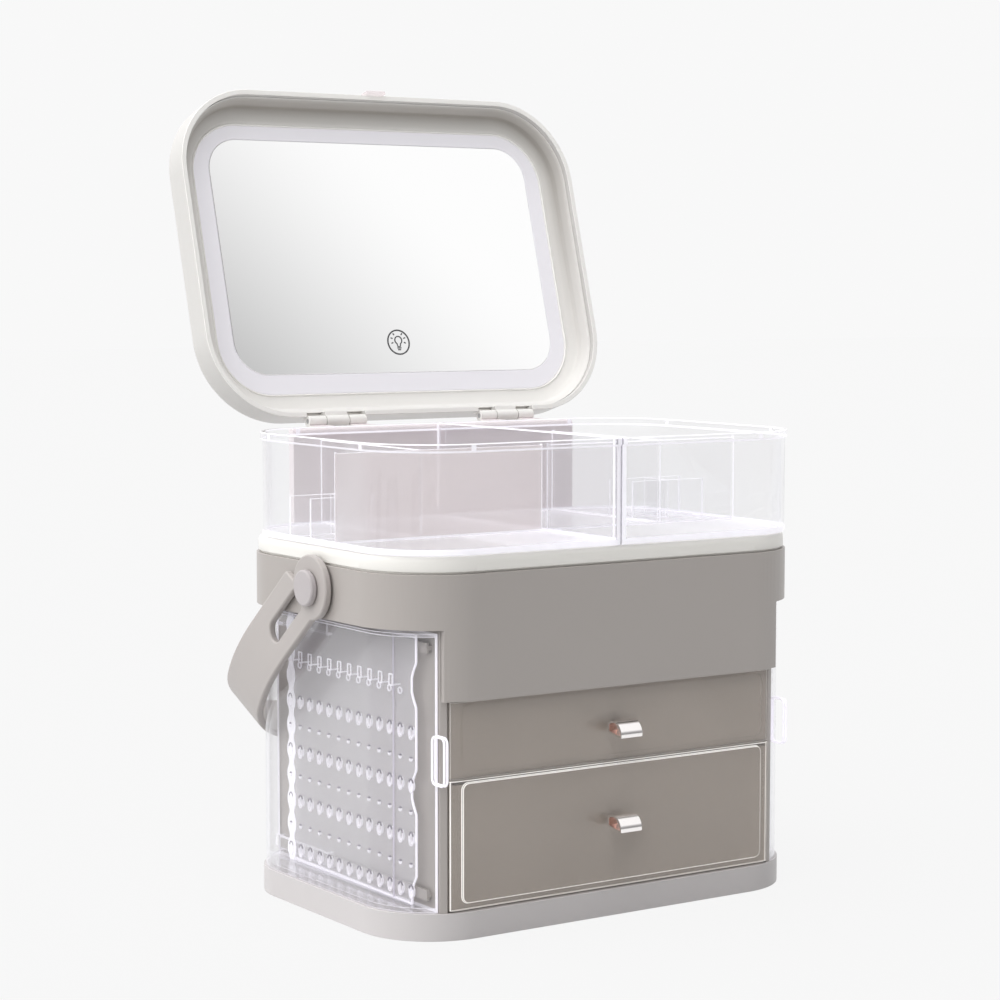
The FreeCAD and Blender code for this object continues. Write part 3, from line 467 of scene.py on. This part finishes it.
def trayZone(face, front):
    spot, way = face.calc_center_median() / mm, face.normal
    if abs(spot.x) < tray["postWide"] and spot.y < front + tray["postDeep"]:
        return "seamShade" if abs(way.x) > 0.9 and abs(spot.x) < tray["joint"] else "clearRim"
    if spot.z < tray["foot"] and abs(way.z) < 0.5:
        return "clearRim"
    if spot.z < tray["foot"] and way.z > 0.9 and face.calc_area() > tray["floorArea"] * mm * mm:
        return "milkStrip"
    if abs(way.y) > 0.9 and abs(spot.y - tray["cross"]) < tray["crossDeep"] and spot.x < 0:
        return "veil"
    return None


for label in ("left_tray", "right_tray"):
    mesh = dressed(label, "clear", 0.6).data
    shape = bmesh.new()
    shape.from_mesh(mesh)
    front = min(v.co.y for v in shape.verts) / mm
    for spot, way in (((0, front + tray["postDeep"], 0), (0, 1, 0)), ((tray["postWide"], 0, 0), (1, 0, 0)),
                      ((-tray["postWide"], 0, 0), (1, 0, 0)), ((0, 0, tray["foot"]), (0, 0, 1))):
        sliced(shape, Vector(spot) * mm, way)
    for face in shape.faces:
        zone = trayZone(face, front)
        if zone:
            face.material_index = tray["finishes"].index(zone)
    shape.to_mesh(mesh)
    shape.free()
    for finish in tray["finishes"][2:]:
        mesh.materials.append(finishes[finish])

# drawers: daylight between each tub and its front, and the upper front's panel without pale rims
drawer = {"daylight": 0.2, "plane": 0.02, "side": 3, "foot": 2, "head": 1}
for label in ("lower_drawer", "upper_drawer"):
    front = dressed(label + "_face", "smoked", 0.8).data
    flatten(front)
    tub, tubFront = dressed(label + "_box", "smokedTub", 0.3).data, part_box(label + "_box")[0][1]
    flatten(tub)
    for vert in tub.vertices:
        if vert.co.y < tubFront + drawer["plane"] * mm:
            vert.co.y += drawer["daylight"] * mm
    low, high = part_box(label + "_face")
    for face in front.polygons:
        across, level = abs(face.center.x), face.center.z
        if label == "upper_drawer" and across < high[0] - drawer["side"] * mm and (
                low[2] + drawer["foot"] * mm < level < high[2] - drawer["head"] * mm):
            face.material_index = 0

# inner pieces keep their solids and only get a finish
for label, finish in (
        ("base_feet", "footRubber"), ("base_screws", "steel"), ("slide_strips", "slipWhite"),
        ("hinge_pins", "steel"), ("mirror_backer", "ivory"), ("led_strip", "boardDark"),
        ("battery_pack", "cellWrap"), ("control_board", "boardDark"), ("charge_socket", "steel"),
        ("left_pivot_pin", "slipWhite"), ("right_pivot_pin", "slipWhite"), ("left_rack_rails", "bodyGrey"),
        ("right_rack_rails", "bodyGrey"), ("lower_drawer_screw", "steel"), ("upper_drawer_screw", "steel")):
    nodes[label].data.materials.clear()
    nodes[label].data.materials.append(finishes[finish])
print("solids dressed")


# pulls: a painted reflection: bright pale metal outside, standing for the white studio mirrored there, and
# rose inside the tube, where another wall of it is in sight
pull = {"outside": "pearlPlate", "inside": "rosePlate", "edge": 0.25, "across": 14, "offset": 0.05}
for label in ("lower_drawer_pull", "upper_drawer_pull"):
    mesh = dressed(label, pull["outside"], pull["edge"]).data
    mesh.materials.append(finishes[pull["inside"]])
    tree = BVHTree.FromPolygons([v.co for v in mesh.vertices], [f.vertices[:] for f in mesh.polygons])
    for face in mesh.polygons:
        start = face.center + face.normal * pull["offset"] * mm
        hit = tree.ray_cast(start, face.normal, pull["across"] * mm)
        face.material_index = 1 if hit[0] else 0


def inLid(name):
    # a lid solid's corners in the closed lid's own frame, in millimetres from the hinge
    back = lidOpen.inverted()
    spots = [back @ v.co / mm for v in nodes[name].data.vertices]
    return [min(p[k] for p in spots) for k in range(3)], [max(p[k] for p in spots) for k in range(3)]


def placed(mesh):
    mesh.transform(lidOpen)
    return mesh


# cove: the curved ledge from the lid's lip down to the light band, with a bead at its inner edge;
# the profile gives the way inwards, the drop and how much painted shade lies there
cove = {"profile": ((0, 12.7, 0.1), (0.9, 12.2, 0.6), (1.9, 10.9, 0.8), (2.8, 9.0, 0.85), (3.3, 7.4, 0.9),
                    (3.5, 6.8, 1), (3.5, 3.9, 1), (3.9, 3.0, 0.95), (5.4, 2.0, 0.75), (7.6, 1.1, 0.5),
                    (9.8, 0.4, 0.3)),
        "corner": 50.6, "windowTurn": 34.0, "windowGap": 0.2, "sink": 2.2, "bead": 0.9, "beadWide": 0.8,
        "beadSteps": 8, "leastDark": 0.1, "lipFacing": 0.35}
low, high = inLid("mirror_frame")
bandLow, bandHigh = inLid("led_diffuser")
halfX, halfY, midY, top = high[0], (high[1] - low[1]) / 2, (high[1] + low[1]) / 2, low[2]
windowX = bandHigh[0] + cove["windowGap"]
windowY = (bandHigh[1] - bandLow[1]) / 2 + cove["windowGap"]
full, rings, ringShade = halfX - windowX, [], []
for inward, drop, dark in cove["profile"]:
    ringShade.append(dark)
    rings.append(ringAt(top - drop, halfX - inward, halfY - inward * (halfY - windowY) / full,
                        cove["corner"] - inward * (cove["corner"] - cove["windowTurn"]) / full, midY))
for step in range(1, cove["beadSteps"]):
    turn = math.pi * step / cove["beadSteps"]
    reach = cove["bead"] * cove["beadWide"] * (1 + math.cos(turn))
    rings.append(ringAt(top - cove["bead"] * math.sin(turn), windowX + reach, windowY + reach,
                        cove["windowTurn"] + reach, midY))
rings.append(ringAt(top, windowX, windowY, cove["windowTurn"], midY))
rings.append(ringAt(top + cove["sink"], windowX, windowY, cove["windowTurn"], midY))
rings.append(ringAt(top + cove["sink"], halfX, halfY, cove["corner"], midY))
mesh = loft(rings)
shadeLayer = mesh.attributes.new("paintedShade", "FLOAT", "POINT")
for number, vert in enumerate(mesh.vertices):
    # painted shade in the hollow, darkest at the side away from the hinge, which is the top of the open lid
    upper = (midY + halfY - vert.co.y / mm) / (2 * halfY)
    ring = number // len(rings[0])
    dark = ringShade[ring] if ring < len(ringShade) else 0
    shadeLayer.data[number].value = dark * (cove["leastDark"] + (1 - cove["leastDark"]) * upper)
smooth(newPiece("cove_ledge", placed(mesh), "coveIvory", "lid", ("mirror_frame",)).data, 40)

# painted light: the lid's lip gets a paler copy of its ivory than the outside, so that the lip shows as
# brightly lit
lipWay = lidOpen.to_3x3() @ Vector((0, 0, -1))
lidShell.data.materials.append(finishes["ivory"])
for face in lidShell.data.polygons:
    if face.normal.dot(lipWay) > cove["lipFacing"]:
        face.material_index = 1
print("lid ledge made")


def ribbon(shape, points, width, thick, z, closed=False):
    # a flat stroke of even width along a line, in millimetres
    spots = [Vector(p) for p in points]
    rows = []
    for k, spot in enumerate(spots):
        before = spots[k - 1] if k or closed else spot
        after = spots[(k + 1) % len(spots)] if k < len(spots) - 1 or closed else spot
        along = (after - before).normalized()
        side = Vector((-along.y, along.x)) * width / 2
        rows.append([shape.verts.new(Vector((q.x, q.y, level)) * mm) for q, level in (
            (spot - side, z), (spot + side, z), (spot + side, z + thick), (spot - side, z + thick))])
    pairs = list(zip(rows, rows[1:])) + ([(rows[-1], rows[0])] if closed else [])
    for first, second in pairs:
        for k in range(4):
            n = (k + 1) % 4
            shape.faces.new((first[k], first[n], second[n], second[k]))
    if not closed:
        shape.faces.new(list(reversed(rows[0])))
        shape.faces.new(rows[-1])


def arc(x, y, radius, start, end, steps):
    turns = [math.radians(start + (end - start) * k / steps) for k in range(steps + 1)]
    return [(x + radius * math.cos(turn), y + radius * math.sin(turn)) for turn in turns]


# touch mark: a ring with a small lamp sign in it, printed on the glass
icon = {"line": 1.0, "thin": 0.8, "thick": 0.12, "above": 0.04, "bulb": 2.6, "bulbArc": (60, -240),
        "lift": 1.3, "neck": (1.0, 4.1), "bars": ((5.1, 1.5), (6.3, 1.1)), "rays": 7, "rayArc": (-200, 20),
        "ray": 1.5, "rayFrom": 4.3}
low, high = inLid("touch_ring")
midX, midY = (low[0] + high[0]) / 2, (low[1] + high[1]) / 2
radius, level = (high[0] - low[0]) / 2 - icon["line"] / 2, low[2] + icon["above"]
bulbY, neck = midY - icon["lift"], icon["neck"]
shape = bmesh.new()
ribbon(shape, arc(midX, midY, radius, 0, 360, 56)[:-1], icon["line"], icon["thick"], level, True)
outline = arc(midX, bulbY, icon["bulb"], *icon["bulbArc"], 26)
outline += [(midX - neck[0], bulbY + neck[1]), (midX + neck[0], bulbY + neck[1])]
ribbon(shape, outline, icon["thin"], icon["thick"], level, True)
strokes = [[(midX - half, bulbY + drop), (midX + half, bulbY + drop)] for drop, half in icon["bars"]]
near = arc(midX, bulbY, icon["rayFrom"], *icon["rayArc"], icon["rays"] - 1)
far = arc(midX, bulbY, icon["rayFrom"] + icon["ray"], *icon["rayArc"], icon["rays"] - 1)
strokes += [list(ray) for number, ray in enumerate(zip(near, far)) if number != icon["rays"] // 2]
for stroke in strokes:
    ribbon(shape, stroke, icon["thin"], icon["thick"], level)
bmesh.ops.recalc_face_normals(shape, faces=shape.faces)
mesh = bpy.data.meshes.new("touchMark")
shape.to_mesh(mesh)
shape.free()
newPiece("touch_mark", placed(mesh), "iconGrey", "lid", ("touch_ring",))
print("touch mark made")


def nodeTree(name, inputs):
    # a Geometry Nodes tree with named inputs; gives the tree, its recipe and a wire for each input
    tree = bpy.data.node_groups.new(name, "GeometryNodeTree")
    tree.interface.new_socket("Geometry", in_out="OUTPUT", socket_type="NodeSocketGeometry")
    for label, (kind, value) in inputs.items():
        socket = tree.interface.new_socket(label, in_out="INPUT", socket_type="NodeSocket" + kind)
        if value is not None:
            socket.default_value = value
    recipe = Recipe(tree)
    entry = recipe.put("NodeGroupInput").socket.node
    return tree, recipe, {label: Wire(recipe, entry.outputs[label]) for label in inputs}


def grown(name, tree, values):
    # runs a tree on an empty mesh and keeps the result as a plain mesh
    piece = bpy.data.objects.new(name, bpy.data.meshes.new(name))
    bpy.context.scene.collection.objects.link(piece)
    grow = piece.modifiers.new("grow", "NODES")
    grow.node_group = tree
    for item in tree.interface.items_tree:
        if item.in_out == "INPUT" and item.name in values:
            grow[item.identifier] = values[item.name]
    settle(piece)
    mesh = piece.data
    bpy.data.objects.remove(piece)
    return mesh


def closeTree(recipe, shape, finish):
    whole = recipe.put("GeometryNodeRealizeInstances", {}, {"Geometry": shape})
    painted = recipe.put("GeometryNodeSetMaterial", {}, {"Geometry": whole, "Material": finish})
    recipe.put("NodeGroupOutput", {}, {"Geometry": painted})


def xyz(recipe, x=0.0, y=0.0, z=0.0):
    return recipe.put("ShaderNodeCombineXYZ", {}, {"X": x, "Y": y, "Z": z})


sides = {"oval": 14, "rim": 6, "rod": 8}

# raised rims round the panel's holes and rows of small studs, both on a grid
rimTree, recipe, given = nodeTree("studRows", {
    "Columns": ("Int", 11), "Rows": ("Int", 4), "Pitch Along": ("Float", 0.0105),
    "Pitch Up": ("Float", 0.03), "Half Width": ("Float", 0.003), "Half Height": ("Float", 0.0045),
    "Rim": ("Float", 0.0004), "Finish": ("Material", None)})
grid = recipe.put("GeometryNodeMeshGrid", {}, {
    "Size X": given["Pitch Along"] * (given["Columns"] - 1),
    "Size Y": given["Pitch Up"] * (given["Rows"] - 1),
    "Vertices X": given["Columns"], "Vertices Y": given["Rows"]})
circle = recipe.put("GeometryNodeCurvePrimitiveCircle", {}, {"Resolution": sides["oval"], "Radius": 1.0})
oval = recipe.put("GeometryNodeTransform", {}, {
    "Geometry": circle, "Scale": xyz(recipe, given["Half Width"], given["Half Height"], 1.0)})
tube = recipe.put("GeometryNodeCurvePrimitiveCircle", {}, {
    "Resolution": sides["rim"], "Radius": given["Rim"]})
rim = recipe.put("GeometryNodeCurveToMesh", {}, {"Curve": oval, "Profile Curve": tube})
closeTree(recipe, recipe.put("GeometryNodeInstanceOnPoints", {}, {"Points": grid, "Instance": rim}),
          given["Finish"])

# a row of hooks: each a stem with a small open frame at its end
hookTree, recipe, given = nodeTree("hookRow", {
    "Count": ("Int", 11), "Pitch": ("Float", 0.0105), "Reach": ("Float", 0.007), "Rise": ("Float", 0.005),
    "Thick": ("Float", 0.0007), "Plate": ("Float", 0.0045), "Finish": ("Material", None)})
row = recipe.put("GeometryNodeMeshLine", {}, {
    "Count": given["Count"], "Start Location": xyz(recipe, given["Pitch"] * (given["Count"] - 1) * -0.5),
    "Offset": xyz(recipe, given["Pitch"])})
rod = recipe.put("GeometryNodeCurvePrimitiveCircle", {}, {
    "Resolution": sides["rod"], "Radius": given["Thick"]})
leftEnd, rightEnd, rise = given["Plate"] * -0.5, given["Plate"] * 0.5, given["Rise"]
bars = []
for start, end in (((0.0, 0.0, 0.0), (0.0, 0.0, given["Reach"])),
                   ((leftEnd, rise, given["Reach"]), (rightEnd, rise, given["Reach"])),
                   ((leftEnd, 0.0, given["Reach"]), (leftEnd, rise, given["Reach"])),
                   ((rightEnd, 0.0, given["Reach"]), (rightEnd, rise, given["Reach"])),
                   ((leftEnd, 0.0, given["Reach"]), (rightEnd, 0.0, given["Reach"]))):
    bar = recipe.put("GeometryNodeCurvePrimitiveLine", {}, {
        "Start": xyz(recipe, *start), "End": xyz(recipe, *end)})
    bars.append(recipe.put("GeometryNodeCurveToMesh", {}, {"Curve": bar, "Profile Curve": rod,
                                                           "Fill Caps": True}))
hook = recipe.put("GeometryNodeJoinGeometry", {}, {0: bars})
closeTree(recipe, recipe.put("GeometryNodeInstanceOnPoints", {}, {"Points": row, "Instance": hook}),
          given["Finish"])

# rack panel, in millimetres: its holes and studs, its row of hooks, and its edges
rackFace = {"firstRow": 25.0, "rowPitch": 30.2, "rows": 4, "columns": 13, "pitchShare": 6.4,
            "holeHalf": 2.3, "holeTall": 3.9, "holeCut": 0.8, "holeRim": 0.45, "studHalf": 1.0,
            "studRim": 0.6, "shadeFrom": 0.35, "proud": 0.1}
hookRow = {"count": 11, "height": 142.5, "drop": 1.0, "reach": 6.2, "rise": 6.2, "rod": 0.45, "plate": 3.6,
           "eyeHalf": 1.9, "eyeTall": 1.7, "eyeRim": 0.5, "eyeDrop": 4.6}
rackEdge = {"inset": 0.2, "wave": 2.6, "notch": 4.6, "steps": 130, "bead": 0.7, "strip": 10.0,
            "stripShare": 0.8, "stripThick": 0.5, "round": 0.15, "fold": 51.0, "foldHalf": 0.4,
            "foldEnd": 1.0, "foldRod": 0.3, "foldProud": 0.8}


def panelOutline(half, low, high):
    # back edge in small waves, front edge with a notch at every second row
    points, steps = [], rackEdge["steps"]
    for k in range(steps + 1):
        z = low + (high - low) * k / steps
        wave = 0.5 - 0.5 * math.cos(2 * math.pi * (z - rackFace["firstRow"]) / (rackFace["rowPitch"] / 2))
        points.append((half - rackEdge["wave"] * wave ** 1.5, z))
    for k in range(steps + 1):
        z = high - (high - low) * k / steps
        wave = 0.5 + 0.5 * math.cos(2 * math.pi * (z - hookRow["height"]) / (rackFace["rowPitch"] * 2))
        points.append((rackEdge["notch"] * min(1, max(0, wave * 3 - 1.9)) - half, z))
    return points


def wireLoop(points, radius, sides=6):
    # a thin round bead along a closed line that lies flat, in millimetres
    turns = [2 * math.pi * n / sides for n in range(sides)]
    rings = []
    for k, (x, y) in enumerate(points):
        along = (Vector(points[(k + 1) % len(points)]) - Vector(points[k - 1])).normalized()
        out = Vector((along.y, -along.x))
        rings.append([(x + out.x * radius * math.cos(turn), y + out.y * radius * math.cos(turn),
                       radius * math.sin(turn)) for turn in turns])
    return loft(rings)


def cutSheet(loops, thick, finish):
    # a thin flat plate from closed lines in millimetres, the first its edge and the others holes
    drawing = bpy.data.curves.new("cutSheet", "CURVE")
    drawing.dimensions, drawing.fill_mode = "2D", "BOTH"
    drawing.extrude = (thick / 2 - rackEdge["round"]) * mm
    drawing.bevel_depth, drawing.bevel_resolution = rackEdge["round"] * mm, 0
    for points in loops:
        spline = drawing.splines.new("POLY")
        spline.points.add(len(points) - 1)
        for point, (x, y) in zip(spline.points, points):
            point.co = (x * mm, y * mm, 0, 1)
        spline.use_cyclic_u = True
    holder = bpy.data.objects.new("cutSheet", drawing)
    bpy.context.scene.collection.objects.link(holder)
    mesh = bpy.data.meshes.new_from_object(holder.evaluated_get(bpy.context.evaluated_depsgraph_get()))
    bpy.data.objects.remove(holder)
    mesh.materials.clear()
    mesh.materials.append(finishes[finish])
    mesh.materials.append(finishes["clearRim"])
    # the sheet's cut edges take the pale rim finish with its painted glow
    for face in mesh.polygons:
        face.material_index = 0 if abs(face.normal.z) > 0.9 else 1
    return mesh


def gridOf(name, columns, rows, pitch, half, tall, rim):
    return grown(name, rimTree, {
        "Columns": columns, "Rows": rows, "Pitch Along": pitch * mm, "Pitch Up": rackFace["rowPitch"] * mm,
        "Half Width": half * mm, "Half Height": tall * mm, "Rim": rim * mm, "Finish": finishes["stampRim"]})


def rackPanel(side, body):
    sign = -1 if side == "left" else 1
    low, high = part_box(side + "_rack_panel")
    outer = (low[0] if sign < 0 else high[0]) / mm
    thick = (high[0] - low[0]) / mm
    half, centre = (high[1] - low[1]) / 2 / mm, (high[1] + low[1]) / 2 / mm
    pitch, rows, rowPitch = half / rackFace["pitchShare"], rackFace["rows"], rackFace["rowPitch"]
    middle = outer - sign * thick / 2
    # the drawing plane's x runs along Y, its y up and its height outwards
    stand = Matrix(((0, 0, sign, middle * mm), (1, 0, 0, centre * mm), (0, 1, 0, 0), (0, 0, 0, 1)))
    foot, head = low[2] / mm, high[2] / mm
    loops = [panelOutline(half - rackEdge["inset"], foot + rackEdge["inset"], head - rackEdge["inset"])]
    reach = rackFace["columns"] // 2
    turns = [2 * math.pi * k / sides["oval"] for k in range(sides["oval"])]
    wide, tall = rackFace["holeHalf"] * rackFace["holeCut"], rackFace["holeTall"] * rackFace["holeCut"]
    for line in range(rows):
        level = rackFace["firstRow"] + line * rowPitch
        for number in range(-reach, reach + 1):
            loops.append([(number * pitch + wide * math.cos(turn), level + tall * math.sin(turn))
                          for turn in turns])
    plate = cutSheet(loops, thick, "frosted")
    plate.transform(stand)
    strip = loops[0][:rackEdge["steps"] + 1]
    inner = [(half - rackEdge["strip"] + (half - x) * rackEdge["stripShare"], z) for x, z in reversed(strip)]
    # the flange strip's white finish has a painted glow, so that it shows as a bright strip
    flange = cutSheet([strip + inner], rackEdge["stripThick"], "flangeWhite")
    flange.transform(stand @ Matrix.Translation((0, 0, thick / 2 * mm)))
    rims = gridOf("rims", rackFace["columns"], rows, pitch, rackFace["holeHalf"], rackFace["holeTall"],
                  rackFace["holeRim"])
    studs = gridOf("studs", rackFace["columns"], rows - 1, pitch, rackFace["studHalf"],
                   rackFace["studHalf"], rackFace["studRim"])
    eyes = gridOf("eyes", hookRow["count"], 1, pitch, hookRow["eyeHalf"], hookRow["eyeTall"],
                  hookRow["eyeRim"])
    hooks = grown("hooks", hookTree, {
        "Count": hookRow["count"], "Pitch": pitch * mm, "Reach": hookRow["reach"] * mm,
        "Rise": hookRow["rise"] * mm, "Thick": hookRow["rod"] * mm, "Plate": hookRow["plate"] * mm,
        "Finish": finishes["hookWhite"]})
    # painted shade on each rim's upper side; the rest keeps the glowing pale rim finish, a painted highlight
    for cups, height in ((rims, rackFace["holeTall"]), (studs, rackFace["studHalf"])):
        lit, dark = cups.polygons[0].material_index, len(cups.materials)
        cups.materials.append(finishes["stampShade"])
        for face in cups.polygons:
            offset = (face.center.y / mm / rowPitch + 0.5 * (cups is rims)) % 1
            above = (offset if offset < 0.5 else offset - 1) * rowPitch
            face.material_index = dark if above > rackFace["shadeFrom"] * height else lit
    rowMiddle = rackFace["firstRow"] + rowPitch * (rows - 1) / 2
    lift = (thick / 2 + rackFace["proud"]) * mm
    for part, level, out in ((rims, rowMiddle, lift), (studs, rowMiddle, lift),
                             (hooks, hookRow["height"] - hookRow["drop"], thick / 2 * mm),
                             (eyes, hookRow["height"] - hookRow["eyeDrop"], lift)):
        part.transform(stand @ Matrix.Translation((0, level * mm, out)))
    corners = (0, rackEdge["steps"] + 1)
    bead = wireLoop([p for k, p in enumerate(loops[0]) if k not in corners], rackEdge["bead"])
    bead.materials.append(finishes["clearRim"])
    bead.transform(stand)
    near, far = -rackEdge["fold"] - rackEdge["foldHalf"], -rackEdge["fold"] + rackEdge["foldHalf"]
    foot, head = foot + rackEdge["foldEnd"], head - rackEdge["foldEnd"]
    fold = wireLoop([(near, foot), (far, foot), (far, head), (near, head)], rackEdge["foldRod"])
    fold.materials.append(finishes["foldLine"])
    fold.transform(stand @ Matrix.Translation((0, 0, (thick / 2 + rackEdge["foldProud"]) * mm)))
    joined(side + "_hook_panel", [fold, plate, flange, rims, studs, eyes, bead], body, side + "_rack_panel")
    joined(side + "_hook_row", [hooks], body, side + "_rack_hooks")


def joined(name, meshes, body, stands):
    # several meshes as one piece, with outward faces and each its own finish
    whole, finishNames = bmesh.new(), []
    for mesh in meshes:
        start = len(whole.faces)
        whole.from_mesh(mesh)
        whole.faces.ensure_lookup_table()
        for face in whole.faces[start:]:
            material = mesh.materials[face.material_index]
            if material.name not in finishNames:
                finishNames.append(material.name)
            face.material_index = finishNames.index(material.name)
    bmesh.ops.remove_doubles(whole, verts=whole.verts, dist=1e-6)
    bmesh.ops.recalc_face_normals(whole, faces=whole.faces)
    mesh = bpy.data.meshes.new(name)
    whole.to_mesh(mesh)
    whole.free()
    newPiece(name, mesh, finishNames[0], body, (stands,))
    for label in finishNames[1:]:
        mesh.materials.append(finishes[label])
    smooth(mesh, 40)


# finger loop: two slim rings side by side, whose rear half sinks into the cover's front edge
fingerLoop = {"tube": 0.7, "reach": 6.0, "back": 6.5, "edge": 7.5, "tall": 27.0, "corner": 3.2,
              "middle": 102.5, "rings": (1.0, 3.0), "cornerSteps": 5}


def fingerPull(side, body):
    sign = -1 if side == "left" else 1
    low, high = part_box(side + "_rack_loop")
    edge = (low[1] / mm + fingerLoop["edge"]) - fingerLoop["reach"]
    across = (fingerLoop["reach"] + fingerLoop["back"]) / 2
    points = roundedLoop(across, fingerLoop["tall"] / 2, fingerLoop["corner"], edge + across,
                         fingerLoop["middle"], fingerLoop["cornerSteps"])
    inner = (high[0] if sign < 0 else low[0]) / mm
    lines = []
    for away in fingerLoop["rings"]:
        at = inner + sign * away
        ring = wireLoop(points, fingerLoop["tube"], sides["rod"])
        ring.materials.append(finishes["clearRim"])
        ring.transform(Matrix(((0, 0, 1, at * mm), (1, 0, 0, 0), (0, 1, 0, 0), (0, 0, 0, 1))))
        lines.append(ring)
    joined(side + "_finger_pull", lines, body, side + "_rack_loop")


for side in ("left", "right"):
    rackPanel(side, side + "_rack")
    fingerPull(side, side + "_rack")
print("rack panels made")

# studio: white ground and world, a wide soft key from the left and above, a dome that is dim below
studio = {"ground": 0.94, "low": 0.075, "high": 0.61, "domeTowards": (0, 0.6, 0.8), "domeFrom": -0.7,
          "domeTo": 0.8, "key": 3.2, "keyFrom": (-0.56, 0.0, 0.83), "keySoft": 90, "bounce": 0.62,
          "lift": 0.95, "halfFloor": 12.0}
light = bpy.data.lights.new("keyLamp", "SUN")
light.energy, light.angle = studio["key"], math.radians(studio["keySoft"])
lamp = bpy.data.objects.new("keyLamp", light)
lamp.rotation_euler = Vector(studio["keyFrom"]).to_track_quat("Z", "Y").to_euler()
lamp.location = Vector(studio["keyFrom"]) * 2
lamp.visible_glossy = False
bpy.context.scene.collection.objects.link(lamp)


def seenOrMirrored(recipe):
    # 1 for what the camera sees, straight, in a mirror or through glass
    rays = [recipe.put("ShaderNodeLightPath", out=number) for number in (0, 3, 6)]
    return recipe.put("ShaderNodeMath", {"operation": "MINIMUM"}, {0: rays[0] + rays[1] + rays[2], 1: 1.0})


ground, recipe = newRecipe("groundWhite")
matt = recipe.put("ShaderNodeBsdfDiffuse", {}, {"Color": (studio["bounce"],) * 3 + (1,)})
glow = recipe.put("ShaderNodeEmission", {}, {"Color": (1, 1, 1, 1), "Strength": studio["ground"]})
recipe.finish(recipe.put("ShaderNodeMixShader", {}, {
    0: seenOrMirrored(recipe) * studio["lift"], 1: matt, 2: glow}))
sheet = bpy.data.meshes.new("ground")
half = studio["halfFloor"]
sheet.from_pydata([(-half, -half, 0), (half, -half, 0), (half, half, 0), (-half, half, 0)], [],
                  [(0, 1, 2, 3)])
floor = bpy.data.objects.new("ground", sheet)
sheet.materials.append(ground)
bpy.context.scene.collection.objects.link(floor)

# a soft edge between a white and a grey card, which only shiny pieces show
card = {"towards": (0.62, 0.664, 0.415), "start": -0.1, "end": 0.065, "grey": 0.3, "white": 1.0}
world = bpy.data.worlds.new("studioWorld")
world.use_nodes = True
bpy.context.scene.world = world
sky = Recipe(world.node_tree)


def skyFade(towards, start, end, low, high):
    along = sky.put("ShaderNodeVectorMath", {"operation": "DOT_PRODUCT"},
                    {0: sky.put("ShaderNodeTexCoord"), 1: towards}, 1)
    return sky.put("ShaderNodeMapRange", {"interpolation_type": "SMOOTHSTEP"}, {
        "Value": along, "From Min": start, "From Max": end, "To Min": low, "To Max": high})


fade = skyFade(card["towards"], card["start"], card["end"], card["grey"], card["white"])
dome = skyFade(studio["domeTowards"], studio["domeFrom"], studio["domeTo"], studio["low"], studio["high"])
glossy = sky.put("ShaderNodeLightPath", out=3)
seen = seenOrMirrored(sky)
behind = seen * studio["ground"] + (1 - seen) * dome
shine = sky.put("ShaderNodeBackground", {}, {
    "Color": (1, 1, 1, 1), "Strength": glossy * fade + (1 - glossy) * behind})
sky.put("ShaderNodeOutputWorld", {}, {"Surface": shine})

# camera: place in metres, angles in degrees
view = {"at": (-0.8730, -1.2713, 0.3652), "azimuth": -33.93, "height": 5.06, "roll": 0.03, "lens": 91.97,
        "sensor": 36.0, "shiftX": 0.0015, "shiftY": 0.01065, "near": 0.05, "far": 40}
aside, raised = math.radians(view["azimuth"]), math.radians(view["height"])
away = Vector((math.sin(aside) * math.cos(raised), -math.cos(aside) * math.cos(raised), math.sin(raised)))
right = Vector((math.cos(aside), math.sin(aside), 0))
up = away.cross(right)
turn = Matrix((right, up, away)).transposed().to_4x4()
cameraData = bpy.data.cameras.new("camera")
cameraData.lens, cameraData.sensor_width = view["lens"], view["sensor"]
cameraData.shift_x, cameraData.shift_y = view["shiftX"], view["shiftY"]
cameraData.clip_start, cameraData.clip_end = view["near"], view["far"]
camera = bpy.data.objects.new("camera", cameraData)
roll = Matrix.Rotation(math.radians(view["roll"]), 4, "Z")
camera.matrix_world = Matrix.Translation(view["at"]) @ turn @ roll
scene = bpy.context.scene
scene.collection.objects.link(camera)
scene.camera = camera
scene.view_settings.view_transform = "Standard"
scene.cycles.max_bounces, scene.cycles.transmission_bounces = 28, 24
scene.cycles.transparent_max_bounces = 24
print("studio and camera ready")
